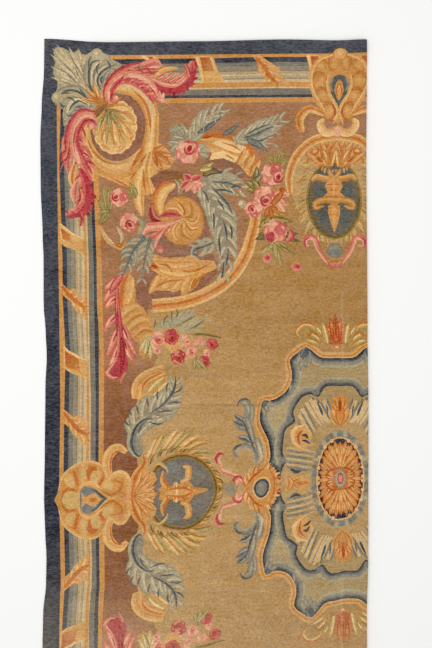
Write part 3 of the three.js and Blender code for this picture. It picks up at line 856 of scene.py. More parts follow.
def leftCameo():
    stroke(4, "amber orange amber", (98, 414), (99, 424), (90, 436), (87, 452), ends=(0.2, 1))
    wreath = ((112, 397), (119, 392), (126, 392), (134, 388), (141, 390), (149, 390), (156, 395),
              (164, 400), (169, 410), (172, 424), (176, 438))
    for k, tip in enumerate(wreath):
        root = (100 + 5 * k, 420 - 8 * math.sin(0.3 * k))
        mid = (0.55 * root[0] + 0.45 * tip[0] + 3, 0.35 * root[1] + 0.65 * tip[1] - 1)
        leaf(2.8, ("sand honey straw", "ochre wheat honey", "drab leaf wheat")[k % 3], root, mid, tip)
        stroke(0.7, "olive ochre", (root[0] + 3, root[1]), (mid[0] + 2, mid[1] + 2), (tip[0], tip[1] + 3))
    barbs(6, 0.7, "wheat olive sand", 22, (104, 422), (120, 413), (142, 412), (160, 422), (172, 440),
          (175, 453), side=-1, lean=1.4)
    barbs(5, 0.8, "olive moss ochre wheat", 34, (103, 426), (118, 415), (142, 412), (160, 422), (172, 438),
          (175, 453), side=-1, lean=2.2, first=0.02)
    disc("ochre", (138, 451), 37, 38, 0, 26)
    disc("moss", (138, 451), 35.6, 36.6, 0, 26)
    disc("olive", (138, 451), 33.8, 34.8, 0, 26)
    disc("plum", (138, 451), 32.4, 33.6, 0, 26)
    for spot, rx, ry in (((128, 436), 8, 6), ((153, 436), 9, 7), ((117, 444), 5, 8)):
        disc("flint", spot, rx, ry, 0.2, 9)
    disc("steel", (128, 427), 8, 5)
    stroke(1.6, "leaf honey", (106, 427), (114, 423), (121, 427), (123, 432))
    lay([(96, 452), (88, 446), (92, 436), (100, 428), (110, 432), (112, 438), (106, 444), (113, 450),
         (113, 452)], "amber")
    tuft(3, "orange amber honey", (88, 452), (98, 426), (106, 430), (111, 436), (112, 443), (114, 449))
    tuft(1.2, "orange gold honey", (90, 450), (101, 434), (107, 441), (109, 448))
    lay([(116, 452), (114, 446), (120, 442), (128, 444), (136, 442), (136, 438), (146, 441), (150, 446),
         (164, 449), (166, 452)], "gold")
    lay([(120, 452), (122, 447), (134, 446), (144, 445), (152, 450), (156, 452)], "amber")
    stroke(3, "orange amber", (119, 429), (118, 438), (122, 444), (128, 447))
    stroke(3.4, "gold honey amber", (138, 426), (144, 428), (143, 438), (136, 441))
    stroke(2.2, "straw amber", (131, 441), (132, 453), ends=(1, 1))
    barbs(4, 0.7, "orange ochre", 8, (120, 448), (136, 446), (152, 449), side=-1, lean=0.6)
    stroke(1.2, "orange", (122, 448), (138, 446), (150, 450))
    stroke(2.6, "sand blush rose", (177, 421), (178, 429), (187, 433), (197, 437), (203, 444), (203, 453),
           ends=(0.3, 0.9))
    stroke(1, "rose cerise", (175, 424), (179, 432), (190, 436), (200, 442))
    stroke(2.2, "crimson crimson rose", (181, 414), (175, 413), (171.4, 418), (173, 424), ends=(0.1, 0.4))
    stroke(1.2, "blush", (177, 417), (175, 420), (177, 424))
    stroke(2.4, "crimson cerise rose", (191, 446), (191, 440), (196, 438), (200, 446), ends=(0.3, 0.3))
    disc("tan", (186, 450), 9)
    disc("drab", (186, 450), 7.4)
    disc("stone", (187, 449), 5)
    stroke(2.4, "blush rose", (193, 447), (195, 441), (199, 443))


def grayLeafInner():
    leaves(3.4, "steel stone sage", ((213, 430), (216, 412), (208, 396)),
           ((210, 408), (206, 390), (200, 372)), ((207, 386), (208, 373), (206, 363)),
           ((205, 378), (203, 366), (195, 361)), ((203, 384), (196, 379), (190, 374)),
           ((205, 391), (197, 387), (189, 380)), ((208, 405), (201, 399), (193, 397)))
    stroke(3, "sage stone steel", (212, 431), (212, 419), (207, 410), (199, 406.6), (192, 409), (192, 414),
           (196, 417), ends=(0.6, 0.2))
    stroke(2.2, "sage linen", (204, 430), (212, 432), (217, 421), (213, 405))
    strokes(1, "dusk slate", ((193, 367), (196, 361.4), (202, 360), (207, 364)),
            ((198, 378), (203, 391), (208, 405), (212, 418)), ((190, 375), (195, 379), (201, 384)),
            ((190, 381), (196, 385), (202, 388)), ((194, 398), (201, 400), (207, 405)),
            ((191, 410), (193, 406.4), (199, 405.4)))


def medallion():
    outer = curve([(298, 330), (282, 330), (275, 326), (266, 319), (257, 325), (248.5, 332), (250, 343),
                   (249, 353), (243, 363), (234, 368), (226, 368.5), (219.5, 366.5), (217, 376),
                   (216.5, 386), (220, 396), (225, 408), (227, 424), (225, 431), (231, 436), (234, 445),
                   (235, 453)], 2)
    inner = curve([(298, 358), (284, 358), (279, 364), (275, 369), (268, 366), (259, 369), (252, 379),
                   (250, 385), (252, 393), (246, 398), (242, 401), (240, 411), (239, 424), (243, 431),
                   (239, 437), (237, 445), (237, 453)], 2)
    lay([*outer, (298, 453)], "pale", "drab", (240, 420), (290, 330))
    for low, high, tone in ((-9.4, -7, "sage"), (-7, -4.8, "stone"), (-4.8, -3.2, "steel"),
                            (-3.2, -1.6, "slate"), (-1.6, 0.2, "ink")):
        strip(outer, 1, low, high, tone)
    for tips, base, size in ((((270, 336), (264, 342), (258, 344), (253, 341)), (265, 319), 3.4),
                             (((222, 384), (226, 380), (232, 375)), (219, 366), 2.6),
                             (((240, 366), (246, 366)), (250, 350), 1.6)):
        tuft(size, "steel stone sage", base, *tips)
        tuft(size * 0.8, "dusk slate steel", base,
             *[((x + base[0]) / 2, (y + base[1]) / 2) for x, y in tips])
    for low, high, tone in ((6.6, 8.6, "sage"), (4.6, 6.6, "stone"), (2.8, 4.6, "steel"),
                            (1.2, 2.8, "slate"), (-0.6, 1.2, "ink")):
        strip(inner, 1, low, high, tone)
    for spot in ((274, 365), (247, 392), (241, 431)):
        disc("steel", (spot[0] - 1, spot[1] - 1), 3.6, 3)
        arc("shadow", spot, 4.4, 4, -20, 100, 0.8)
    stroke(3, "slate ink slate", (228, 433), (234, 439), (236, 453), ends=(0.4, 1))
    lay([*inner, (298, 453)], "drab", "sand", (250, 370), (290, 440))
    for near, far in (((278, 397), (263, 374)), ((281, 396), (267, 371)), ((284, 395), (271, 372)),
                      ((287, 395), (275, 376)), ((266, 414), (252, 396)), ((269, 408), (256, 386)),
                      ((272, 403), (259, 380)), ((291, 394), (281, 372))):
        stroke(2.2, "cream wheat", near, far, ends=(0.35, 0.9))
        stroke(1.2, "flint steel", (near[0] + 1.6, near[1] - 1), (far[0] + 2.6, far[1] - 1.6),
               ends=(0.3, 0.9))
    leaf(1.3, "shadow shadow slate", (280, 388), (277, 380), (274, 374))
    for k, y in enumerate((420, 425, 430, 435)):
        stroke(1.6, ("cream pale stone", "wheat pale flint")[k % 2], (243, y), (270, y + 4),
               ends=(0.9, 0.5))
        stroke(0.5, "steel", (243, y + 2.6), (270, y + 6), ends=(0.9, 0.5))
    lay([(298, 367), (294, 367), (290, 370), (290, 376), (288, 382), (290, 390), (294, 397), (298, 400)],
        "gold")
    tuft(2.4, "gold amber honey", (297, 398), (286, 391), (285, 383), (288, 378))
    tuft(2.4, "orange gold honey", (297, 386), (287, 373), (292, 367), (298, 366))
    stroke(0.9, "orange", (297, 398), (293, 388), (294, 379))
    stroke(0.9, "ochre", (297, 398), (290, 391), (288, 384))
    stroke(1.6, "rust orange", (297, 384), (297, 377), (297, 371))
    stroke(1.2, "slate steel", (283, 376), (284, 382), (284, 389))
    lay([(246, 403), (254, 396), (262, 399), (268, 408), (266, 418), (256, 424), (248, 415)], "amber")
    stroke(3, "gold honey straw", (263, 397), (253, 401), (251, 412), (260, 421))
    stroke(1.2, "orange rust", (260, 401), (255, 408), (257, 418))
    stroke(1.6, "shadow moss", (258, 408), (262, 407), (265, 411))
    stroke(1.3, "shadow", (258, 412), (263, 413), (267, 416))
    lay([(240, 453), (242, 443), (250, 446), (258, 444), (266, 449), (266, 453)], "amber")
    tuft(2.6, "orange gold honey", (250, 452), (244, 444), (256, 446), (266, 450))
    stroke(1.5, "shadow slate", (246, 438), (252, 441), (258, 440))
    disc("stone", (297, 450), 29, 48, 0, 24)
    for k in range(11):
        a = math.radians(92 + 9 * k)
        disc(("steel", "sage", "flint")[k % 3], (297 + 26.5 * math.cos(a), 450 - 45 * math.sin(a)), 3, 2,
             -a, 8)
    disc("honey", (297, 450), 24, 41.4, 0, 26)
    disc("ink", (297, 450), 22.8, 40, 0, 26)
    for spot in ((288, 412), (281, 418), (276, 428), (274.4, 438), (274, 447)):
        disc("honey", (spot[0] + 0.6, spot[1] + 0.8), 2, 2, 0, 7)
    disc("gold", (297, 450), 17.6, 30, 0, 24)
    tuft(5, "orange gold honey", (297, 446), (298, 411), (291.4, 412), (285, 415), (280.4, 421))
    tuft(1.6, "orange amber honey", (297, 444), (295, 414), (288, 415), (282, 420))
    tuft(4.4, "orange gold amber", (294, 449), (278.6, 427), (276, 434), (275, 442), (275, 450))
    tuft(1.4, "rust amber honey", (292, 449), (278, 431), (276.4, 438), (276, 446))
    stroke(1, "orange rust", (297, 439), (288, 441), (283, 446), (286, 450), ends=(0.6, 0.3))
    disc("orange", (297, 450), 8, 12)
    disc("stone", (297, 450), 6, 9.4)
    disc("sage", (297, 449), 4.6, 7.4)
    disc("crimson", (297, 450), 3.2, 5.6)
    disc("rose", (296.6, 450), 1.8, 3.8)
    for low, high, tone in ((0.2, 1, "honey"), (1, 2.6, "gold"), (2.6, 3.4, "ochre"), (3.4, 5.4, "amber"),
                            (5.4, 6.2, "sand")):
        strip(outer, 1, low, high, tone)
    lay([(222, 429), (210, 434), (202, 443), (199, 452), (238, 452), (234, 444), (231, 436)], "gold")
    barbs(7, 1.1, "orange honey amber", 10, (201, 449), (207, 440), (216, 434), side=-1, lean=1.6)
    barbs(5.4, 1.2, "honey orange amber gold", 9, (222, 434), (229, 438), (233, 446), (233, 453), side=-1,
          lean=0.3)
    stroke(1.3, "orange rust", (203, 447), (210, 438), (221, 433))
    stroke(1.1, "orange", (226, 436), (230, 443), (231, 452))
    disc("honey", (218, 450), 9.4, 9.8)
    disc("navy", (218, 450), 7.8, 8.2)
    disc("steel", (218, 450), 5.8, 6.2)
    disc("stone", (217.4, 449), 3)


def anthemion():
    tuft(3.6, "rust orange amber", (297, 316), (285, 306), (287, 296), (291, 289), (297, 285))
    stroke(1.2, "rust", (297, 312), (297, 288))
    stroke(2.6, "orange honey leaf", (262, 310), (257, 305), (262, 298), (271, 297), (279, 303), (282, 309))
    tuft(3.8, "ochre leaf straw", (288, 318), (262, 311), (266, 302), (275, 295), (283, 291))
    tuft(0.8, "olive ochre gold", (286, 316), (270, 309), (278, 301))
    stroke(1.6, "olive orange", (268, 309), (273, 304), (279, 308))
    disc("orange", (297, 319), 3.4, 2.6)
    disc("honey", (297, 319), 2, 1.4)


def secondQuarter():
    goldHorn()
    crimsonAcanthus()
    grayScrollLeft()
    posyLeft()
    leftShell()
    leftCameo()
    grayLeafInner()
    medallion()
    anthemion()


secondQuarter()


# From 0 to 1, slow at both ends
def ease(share):
    t = np.clip(share, 0, 1)
    return t * t * (3 - 2 * t)


# An amount that fades in from one place and out towards another: (place, length) for each
def between(place, fadeIn, fadeOut, amount=1.0):
    return amount * ease((place - fadeIn[0]) / fadeIn[1]) * ease((fadeOut[0] - place) / fadeOut[1])


# The shift at a place, smoothly between the rows of (place, shift)
def wander(rows, place):
    spots = np.array([row[0] for row in rows], float)
    shifts = np.array([row[1] for row in rows], float)
    i = np.clip(np.searchsorted(spots, place) - 1, 0, len(rows) - 2)
    t = ease((place - spots[i]) / (spots[i + 1] - spots[i]))
    return shifts[i] + (shifts[i + 1] - shifts[i]) * t


def ridge(crease, place):
    return crease[1] * (1 - ease(np.abs(place - crease[0]) / crease[2]))


# Where each drift fades in and out, in squares: (place, length)
reach = {
    "middleLine": ((0, 297), (460, 150)),    # across
    "side": ((0, 60), (200, 140)),           # across
    "lower": ((421, 58), (880, 240)),        # along
    "medallion": ((190, 60), (404, 60)),     # across
    "medallionAlong": ((205, 90), (695, 90)),
}
medallionLift = 12.0  # squares that the medallion sits nearer to the far end


# How far the weaving has drifted from the cartoon at a square, in squares
def drift(u, v):
    hump = between(u, *reach["middleLine"])
    side = between(u, *reach["side"])
    medallion = between(v, *reach["medallionAlong"], between(u, *reach["medallion"]))
    lower = between(v, *reach["lower"], wander(slant, u))
    return wander(axisDrift, v) * hump + wander(sideDrift, v) * side, lower - medallionLift * medallion


# From squares to the cloth laid flat: s across from the outer edge, t along from the middle, mm
def ontoCloth(u, v):
    shiftU, shiftV = drift(u, v)
    return cloth["square"] * (u + shiftU), cloth["length"] / 2 - cloth["square"] * (v + shiftV)


# Places across the folded carpet that follow from its sizes, mm
outerX = -cloth["showing"] / 2
foldRadius = (cloth["foldHeight"] - cloth["thickness"]) / 2
foldCentreX = cloth["showing"] / 2 - cloth["thickness"] / 2 - foldRadius
upperWidth = foldCentreX - outerX
foldRun = math.pi * foldRadius
hiddenEdgeX = foldCentreX - (cloth["width"] - upperWidth - foldRun)
stepStartX = hiddenEdgeX - cloth["edgeClearance"] - cloth["stepWidth"]
layerRise = cloth["thickness"] + cloth["layerGap"]
lastRise = cloth["foldHeight"] - cloth["thickness"] - layerRise


# Height of the middle of the upper layer over the floor
def upperHeight(x):
    step = layerRise * ease((x - stepStartX) / cloth["stepWidth"])
    rise = lastRise * ease((x - foldCentreX + cloth["foldRise"]) / cloth["foldRise"])
    return cloth["thickness"] / 2 + step + rise


# Low waves and old fold lines of the upper layer
def relief(x, y):
    waveX, waveY = cloth["waveLengths"]
    wave = 0.5 + 0.5 * np.sin(x / waveX + 1.1) * np.cos(y / waveY + 0.4)
    crossing = sum(ridge(crease, y) for crease in crossCreases)
    inland = between(x, (outerX, 300), (foldCentreX, 90))
    return (cloth["waveHeight"] * wave + ridge(lengthCrease, x) + crossing) * inland


# Points of the folded cloth in metres, for s and t as above and side from 1, the pile, to -1, the back
def foldedPoints(s, t, side):
    upper = s < upperWidth
    turn = np.clip((s - upperWidth) / foldRadius, 0, math.pi)
    flatX = outerX + np.minimum(s, upperWidth)
    tilt = np.arctan((upperHeight(flatX + 2) - upperHeight(flatX - 2)) / 4) * upper
    outX = np.sin(turn) - np.sin(tilt)
    outZ = np.cos(turn) * np.cos(tilt)
    x = flatX + foldRadius * np.sin(turn) - np.clip(s - upperWidth - foldRun, 0, None)
    z = np.where(upper, upperHeight(flatX) + relief(flatX, t),
                 cloth["thickness"] / 2 + foldRadius * (1 + np.cos(turn)))
    halfLength = cloth["length"] / 2
    inside = np.minimum(np.minimum(s, cloth["width"] - s), halfLength - np.abs(t))
    rounding = cloth["edgeRound"] * np.exp(-np.clip(inside, 0, None) / cloth["edgeRoundReach"])
    body = cloth["thickness"] / 2 * (1 - rounding) * side
    a, b, c, d = cloth["puckerLengths"]
    pucker = np.sin(s / a + 1.7 * np.sin(t / b)) * np.sin(t / c + 1.3 * np.sin(s / d)) - 1
    body = body + cloth["pucker"] * pucker * (side > 0.5)
    toFold = (flatX - outerX) / cloth["showing"]
    shiftX = (wander(outerEdge, t) * (1 - toFold) + wander(foldEdge, t) * toFold) * (0.75 + 0.25 * outZ)
    endShift = np.where(t > 0, wander(farEnd, x), wander(nearEnd, x))
    y = t + endShift * ease((np.abs(t) / halfLength - 0.6) / 0.4)
    return np.stack([x + shiftX + outX * body, y, z + outZ * body], -1) / 1000


weaving = {
    "lattice": (31, 46),       # points across and along a quadrant, besides those of the pattern
    "linePoints": (24, 31),    # points on a bend line, across and along
    "driftRounds": 12,         # rounds that bring a bend line to its place on the drifted cartoon
    "inset": 0.3,              # squares at the rim of a quadrant that the bend lines leave free
    "near": 0.06,              # squares; points of the drawing that are this near become one
    "snap": 0.15,              # squares; points this near to the rim are put on it
    "slack": 0.12,             # squares; how far a straightened line may stray
    "merge": 0.01,             # squares; the same for the whole quadrant
    "hiddenForm": 50,          # squares; forms smaller than this are left out under the fold
    "backShade": 0.8,
    "join": 0.02,              # mm; points of two quadrants that become one
}


# Lines across the cloth where it bends, mm: edges, step, fold and creases
def bendLines():
    near = [5, 14]
    step = np.linspace(stepStartX - outerX, stepStartX - outerX + cloth["stepWidth"], 8)
    rise = np.linspace(upperWidth - cloth["foldRise"], upperWidth, 6)
    fold = np.linspace(upperWidth, upperWidth + foldRun, 13)
    crease = lengthCrease[0] - outerX + lengthCrease[2] * np.linspace(-1, 1, 5)
    acrossLines = [*near, *step, *rise, *fold[1:], *crease, *[cloth["width"] - d for d in near]]
    alongLines = [place + half * k for place, _, half in crossCreases for k in (-1, -0.5, 0, 0.5, 1)]
    alongLines += [end * (cloth["length"] / 2 - d) for end in (-1, 1) for d in near]
    return acrossLines, alongLines


# The same lines in one quadrant's squares; flips say whether it is mirrored across or along
def quadrantLines(flipU, flipV):
    acrossLines, alongLines = bendLines()
    lines = []
    countU, countV = weaving["linePoints"]
    inset = weaving["inset"]
    v = np.linspace(0, halfV, countV)
    realV = 2 * halfV - v if flipV else v
    for s in acrossLines:
        u = np.full(countV, s / cloth["square"])
        for _ in range(weaving["driftRounds"]):
            u = s / cloth["square"] - drift(u, realV)[0]
        u = 2 * halfU - u if flipU else u
        lines.append(np.stack([u, v], 1)[(u > inset) & (u < halfU - inset)])
    u = np.linspace(0, halfU, countU)
    realU = 2 * halfU - u if flipU else u
    for t in alongLines:
        straight = (cloth["length"] / 2 - t) / cloth["square"]
        v = np.full(countU, straight)
        for _ in range(weaving["driftRounds"]):
            v = straight - drift(realU, v)[1]
        v = 2 * halfV - v if flipV else v
        lines.append(np.stack([u, v], 1)[(v > inset) & (v < halfV - inset)])
    return [line for line in lines if len(line) > 1]


def toLinear(hexColour):
    share = np.array([int(hexColour[i:i + 2], 16) / 255 for i in (0, 2, 4)])
    return np.where(share <= 0.04045, share / 12.92, ((share + 0.055) / 1.055) ** 2.4)


dyed = {name: toLinear(tone) for name, tone in wool.items()}

# Where the pile is worn and dusty, and where painted shade darkens one old fold: shares of 1, and places on
# the flat cloth in millimetres
age = {
    "dust": "e6d3ae",
    "nearEnd": 0.12, "nearEndFrom": (-250, 900),
    "lengthFold": 0.12, "lengthFoldStretch": ((780, 80), (1330, 80)), "lengthFoldFrom": (-520, 80),
    "crossFolds": 0.09, "crossFoldStretch": ((700, 200), (1700, 200)),
    "foldWear": 16,            # half width of the worn line
    # painted shade in the trough of one fold: how much it darkens, its stretch across and its half width
    "shadeDepth": 0.3, "shadeStretch": ((850, 150), (1460, 60)), "shadeWidth": 13,
}
dust = toLinear(age["dust"])


# A line's share at a distance from it, 1 on the line itself
def onLine(distance, halfWidth):
    return 1 - ease(np.abs(distance) / halfWidth)


# Share of dust and wear at a spot of the flat cloth: more towards the near end, and on stretches of
# the old folds
def wear(s, t):
    place, length = age["nearEndFrom"]
    near = age["nearEnd"] * ease((place - t) / length)
    place, length = age["lengthFoldFrom"]
    stretch = between(t, *age["lengthFoldStretch"]) + ease((place - t) / length)
    along = age["lengthFold"] * stretch * onLine(s + outerX - lengthCrease[0], age["foldWear"])
    middle = between(s, *age["crossFoldStretch"])
    crossing = sum(age["crossFolds"] * middle * onLine(t - place, age["foldWear"])
                   for place, _, _ in crossCreases)
    return near + along + crossing


# Share of light taken off by painted shade in the trough of one of the folds
def creaseShade(s, t):
    return between(s, *age["shadeStretch"], age["shadeDepth"] * onLine(t - crossCreases[1][0], age["shadeWidth"]))


# Which spots lie inside an outline, by how often it winds round them
def inside(spots, outline):
    a, b = outline, np.roll(outline, -1, 0)
    x, y = spots[:, :1], spots[:, 1:]
    lean = (b[:, 0] - a[:, 0]) * (y - a[:, 1]) - (x - a[:, 0]) * (b[:, 1] - a[:, 1])
    rising = (a[:, 1] <= y) & (b[:, 1] > y) & (lean > 0)
    falling = (a[:, 1] > y) & (b[:, 1] <= y) & (lean < 0)
    return rising.sum(1) != falling.sum(1)


# The topmost shape at each spot
def topShape(spots, chosen):
    order = np.argsort(spots[:, 0])
    sortedU = spots[order, 0]
    top = np.zeros(len(spots), int)
    for k, (outline, *_) in enumerate(chosen):
        low, high = outline.min(0), outline.max(0)
        near = order[np.searchsorted(sortedU, low[0]):np.searchsorted(sortedU, high[0])]
        near = near[(spots[near, 1] > low[1]) & (spots[near, 1] < high[1])]
        if len(near):
            top[near[inside(spots[near], outline)]] = k
    return top


# Triangles that keep every edge; points nearer than merge become one
def triangulate(points, edges, merge):
    spots, _, tris, _, _, _ = delaunay_2d_cdt([Vector(p) for p in points], edges, [], 0, merge)
    return np.array([tuple(p) for p in spots]), np.array(tris)


# Adds a line's points, and the edges between them
def chain(points, edges, line, closed=False):
    first, count = len(points), len(line)
    points.extend(line)
    edges += [(first + k, first + (k + 1) % count) for k in range(count if closed else count - 1)]


# Leaves out the points that a nearly straight line does without
def straighten(spots, pairs):
    joined = {}
    for a, b in pairs.tolist():
        joined.setdefault(a, set()).add(b)
        joined.setdefault(b, set()).add(a)
    for middle in list(joined):
        if len(joined[middle]) != 2:
            continue
        a, b = joined[middle]
        alongU, alongV = spots[b] - spots[a]
        offU, offV = spots[middle] - spots[a]
        gap = abs(alongU * offV - alongV * offU) / max(math.hypot(alongU, alongV), 1e-9)
        if gap < weaving["slack"] and b not in joined[a]:
            joined[a] ^= {middle, b}
            joined[b] ^= {middle, a}
            del joined[middle]
    return np.array([(a, b) for a in joined for b in joined[a] if a < b])


# Only the lines that show between two tones of the pattern
def visibleLines(chosen):
    points, edges = [], []
    for outline, *_ in chosen:
        chain(points, edges, np.clip(outline, 0, (halfU, halfV)), True)
    spots, tris = triangulate(points, edges, weaving["near"])
    for limit in (0, np.array([halfU, halfV])):
        spots = np.where(np.abs(spots - limit) < weaving["snap"], limit, spots)
    top = topShape(spots[tris].mean(1), chosen)
    tones = {shape[1]: k for k, shape in enumerate(chosen)}
    tone = np.array([tones[shape[1]] for shape in chosen])[top]
    pairs = np.sort(tris[:, ((0, 1), (1, 2), (2, 0))].reshape(-1, 2), 1)
    face = np.repeat(np.arange(len(tris)), 3)
    order = np.lexsort((pairs[:, 1], pairs[:, 0]))
    pairs, face = pairs[order], face[order]
    same = (pairs[1:] == pairs[:-1]).all(1)
    shown = straighten(spots, pairs[np.flatnonzero(same & (tone[face[1:]] != tone[face[:-1]]))])
    print("pattern:", len(tris), "triangles drawn,", len(shown), "edges show")
    return spots, shown


# One quadrant as triangles, each with the colour of the topmost shape, lightened where worn and darkened by
# painted shade along one fold
def weaveQuadrant(chosen, lines, flipU, flipV):
    used, order = np.unique(lines[1], return_inverse=True)
    points = list(lines[0][used])
    edges = [tuple(pair) for pair in order.reshape(-1, 2).tolist()]
    chain(points, edges, [(0, 0), (halfU, 0), (halfU, halfV), (0, halfV)], True)
    for line in quadrantLines(flipU, flipV):
        chain(points, edges, line)
    for u in np.linspace(0, halfU, weaving["lattice"][0]):
        points.extend((u, v) for v in np.linspace(0, halfV, weaving["lattice"][1]))
    spots, corners = triangulate(points, edges, weaving["merge"])
    top = topShape(spots[corners].mean(1), chosen)
    rows = [(dyed[tone], dyed[endTone], foot or (0, 0), head or (1, 0))
            for _, tone, endTone, foot, head in chosen]
    start, end, foot, head = (np.array(column, float)[top][:, None] for column in zip(*rows))
    run = head - foot
    share = ((spots[corners] - foot) * run).sum(-1) / np.maximum((run * run).sum(-1), 1e-9)
    share = np.clip(share, 0, 1)[..., None]
    colours = start * (1 - share) + end * share
    u = 2 * halfU - spots[:, 0] if flipU else spots[:, 0]
    v = 2 * halfV - spots[:, 1] if flipV else spots[:, 1]
    s, t = ontoCloth(u, v)
    worn = wear(s, t)[corners][..., None]
    # worn places take on dust; painted shade darkens the colours along one old fold
    colours = (colours * (1 - worn) + dust * worn) * (1 - creaseShade(s, t)[corners][..., None])
    if flipU != flipV:
        return s, t, corners, colours
    return s, t, corners[:, ::-1], colours[:, ::-1]


# Both sides of the whole cloth, laid flat: x is s, y is t and z is the side. What the fold hides
# keeps its large forms only
def weaveCloth():
    spots, tris, colours, backs = [], [], [], []
    turned = 2 * halfU - (upperWidth + foldRun) / cloth["square"] - 6
    hidden = [shape for shape in shapes
              if shape[0][:, 0].max() > turned or np.ptp(shape[0], 0).max() > weaving["hiddenForm"]]
    bare = shapes[:borderShapes]
    for side, flipU, chosen in ((1, False, shapes), (1, True, hidden), (-1, False, bare), (-1, True, bare)):
        lines = visibleLines(chosen)
        for flipV in (False, True):
            s, t, corners, tone = weaveQuadrant(chosen, lines, flipU, flipV)
            first = sum(len(part) for part in spots)
            spots.append(np.stack([s, t, np.full(len(s), side)], 1))
            if side < 0:
                corners, tone = corners[:, ::-1], tone[:, ::-1] * weaving["backShade"]
            tris.append(corners + first)
            colours.append(tone)
            backs.append(np.full(len(corners), side < 0))
        print("wove", "pile" if side > 0 else "back", sum(len(part) for part in tris), "triangles so far")
    mesh = bpy.data.meshes.new("rug_cloth")
    mesh.from_pydata(np.concatenate(spots), [], np.concatenate(tris))
    paint = mesh.color_attributes.new("weave", "FLOAT_COLOR", "CORNER")
    tone = np.concatenate(colours).reshape(-1, 3)
    paint.data.foreach_set("color", np.hstack([tone, np.ones((len(tone), 1))]).ravel())
    mesh.polygons.foreach_set("material_index", np.concatenate(backs).astype(int))
    return mesh


# Joins the quadrants and closes the edges with an overcast selvedge that stands out a little
def closeCloth(mesh):
    bm = bmesh.new()
    bm.from_mesh(mesh)
    bmesh.ops.remove_doubles(bm, verts=bm.verts, dist=weaving["join"])
    bmesh.ops.dissolve_degenerate(bm, dist=0.01, edges=bm.edges)
    paint = bm.loops.layers.float_color["weave"]
    ring = [edge for edge in bm.edges if edge.is_boundary and edge.verts[0].co.z > 0]
    width, halfLength = cloth["width"], cloth["length"] / 2
    for side, proud in ((0, cloth["selvedge"]), (-1, 0)):
        grown = bmesh.ops.extrude_edge_only(bm, edges=ring)["geom"]
        ring = [item for item in grown if isinstance(item, bmesh.types.BMEdge)]
        for vert in {vert for edge in ring for vert in edge.verts}:
            x = min(max(vert.co.x, 0), width)
            y = min(max(vert.co.y, -halfLength), halfLength)
            outX = (x > width - 0.1) - (x < 0.1)
            outY = (y > halfLength - 0.1) - (y < 0.1 - halfLength)
            vert.co = (x + proud * outX, y + proud * outY, side)
        for face in [item for item in grown if isinstance(item, bmesh.types.BMFace)]:
            face.material_index = 1
            for loop in face.loops:
                loop[paint] = (*dyed["ink"], 1)
    bmesh.ops.remove_doubles(bm, verts=bm.verts, dist=weaving["join"])
    bmesh.ops.triangulate(bm, faces=bm.faces)
    bmesh.ops.recalc_face_normals(bm, faces=bm.faces)
    print("closed:", all(edge.is_manifold for edge in bm.edges), len(bm.faces), "triangles")
    bm.to_mesh(mesh)
    bm.free()


# Charts of the two sides: the back's is small, beside the pile's
charts = {
    "margin": 20,              # mm round the cloth
    "backScale": 0.45,
    "backPlace": (0.68, 0.01),
}


def layCharts(mesh, flat):
    loops = np.empty(len(mesh.loops), int)
    mesh.loops.foreach_get("vertex_index", loops)
    which = np.empty(len(mesh.polygons), int)
    mesh.polygons.foreach_get("material_index", which)
    back = np.repeat(which, 3).astype(bool)[:, None]
    span = cloth["length"] + 2 * charts["margin"]
    corner = np.array([charts["margin"], span / 2])
    chart = (flat[loops, :2] + corner) / span
    chart = np.where(back, chart * charts["backScale"] + charts["backPlace"], chart)
    mesh.uv_layers.new(name="OFBake").data.foreach_set("uv", chart.ravel())


# From the flat cloth to the folded one
def foldCloth(mesh):
    flat = np.empty(len(mesh.vertices) * 3)
    mesh.vertices.foreach_get("co", flat)
    flat = flat.reshape(-1, 3)
    layCharts(mesh, flat)
    mesh.vertices.foreach_set("co", foldedPoints(flat[:, 0], flat[:, 1], flat[:, 2]).ravel())
    mesh.update()


def addToScene(name, data):
    item = bpy.data.objects.new(name, data)
    bpy.context.scene.collection.objects.link(item)
    return item


def addNode(tree, kind, values, links=()):
    node = tree.nodes.new(kind)
    for name, value in values.items():
        if isinstance(name, str) and hasattr(node, name):
            setattr(node, name, value)
        else:
            node.inputs[name].default_value = value
    for name, source in links:
        tree.links.new(source, node.inputs[name])
    return node


# A material with its tree emptied, the places on the piece and the woven colours
def startWool(name):
    material = bpy.data.materials.new(name)
    material.use_nodes = True
    tree = material.node_tree
    tree.nodes.clear()
    place = addNode(tree, "ShaderNodeTexCoord", {}).outputs["Object"]
    weave = addNode(tree, "ShaderNodeAttribute", {"attribute_name": "weave"}).outputs["Color"]
    return material, tree, place, weave


pile = {
    # These four: size in millimetres, across, along and up, and how far it swings the colour
    "tufts": ((11.0, 11.0, 11.0), 0.27),            # they lean their own way
    "dyeLots": ((1000 / 1.2, 90.0, 1000.0), 0.11),  # bands where one lot of wool meets the next
    "rows": ((26.0, 8.0, 25.0), 0.05),              # stretches of one row of knots
    "faded": ((160.0, 160.0, 160.0), 0.02),         # places where feet have worn the wool
    "knot": 6.5,              # mm; real knots are about 3 mm, drawn coarser so that they show
    "knotDepth": 0.35,        # mm
    "knotShare": 0.5,         # how much of that depth shows
    "knotScatter": 0.6,       # how far the knots stand out of line
    "leastTone": (0.008, 0.008, 0.01),
    "roughness": 0.95,
    "gloss": 0.05,
    "sheen": 0.04,
    "sheenRoughness": 0.6,
}


# A noise that swings by a strength either way round a middle value
def swing(tree, place, middle, size, strength):
    scale = [1000 / mm for mm in size]
    stretched = addNode(tree, "ShaderNodeMapping", {"Scale": scale}, [("Vector", place)])
    noise = addNode(tree, "ShaderNodeTexNoise", {"Scale": 1.0, "Detail": 3.0, "Roughness": 0.7},
                    [("Vector", stretched.outputs[0])])
    limits = {"From Min": 0.3, "From Max": 0.7, "To Min": middle - strength, "To Max": middle + strength}
    return addNode(tree, "ShaderNodeMapRange", {**limits, "clamp": False},
                   [("Value", noise.outputs["Fac"])]).outputs[0]


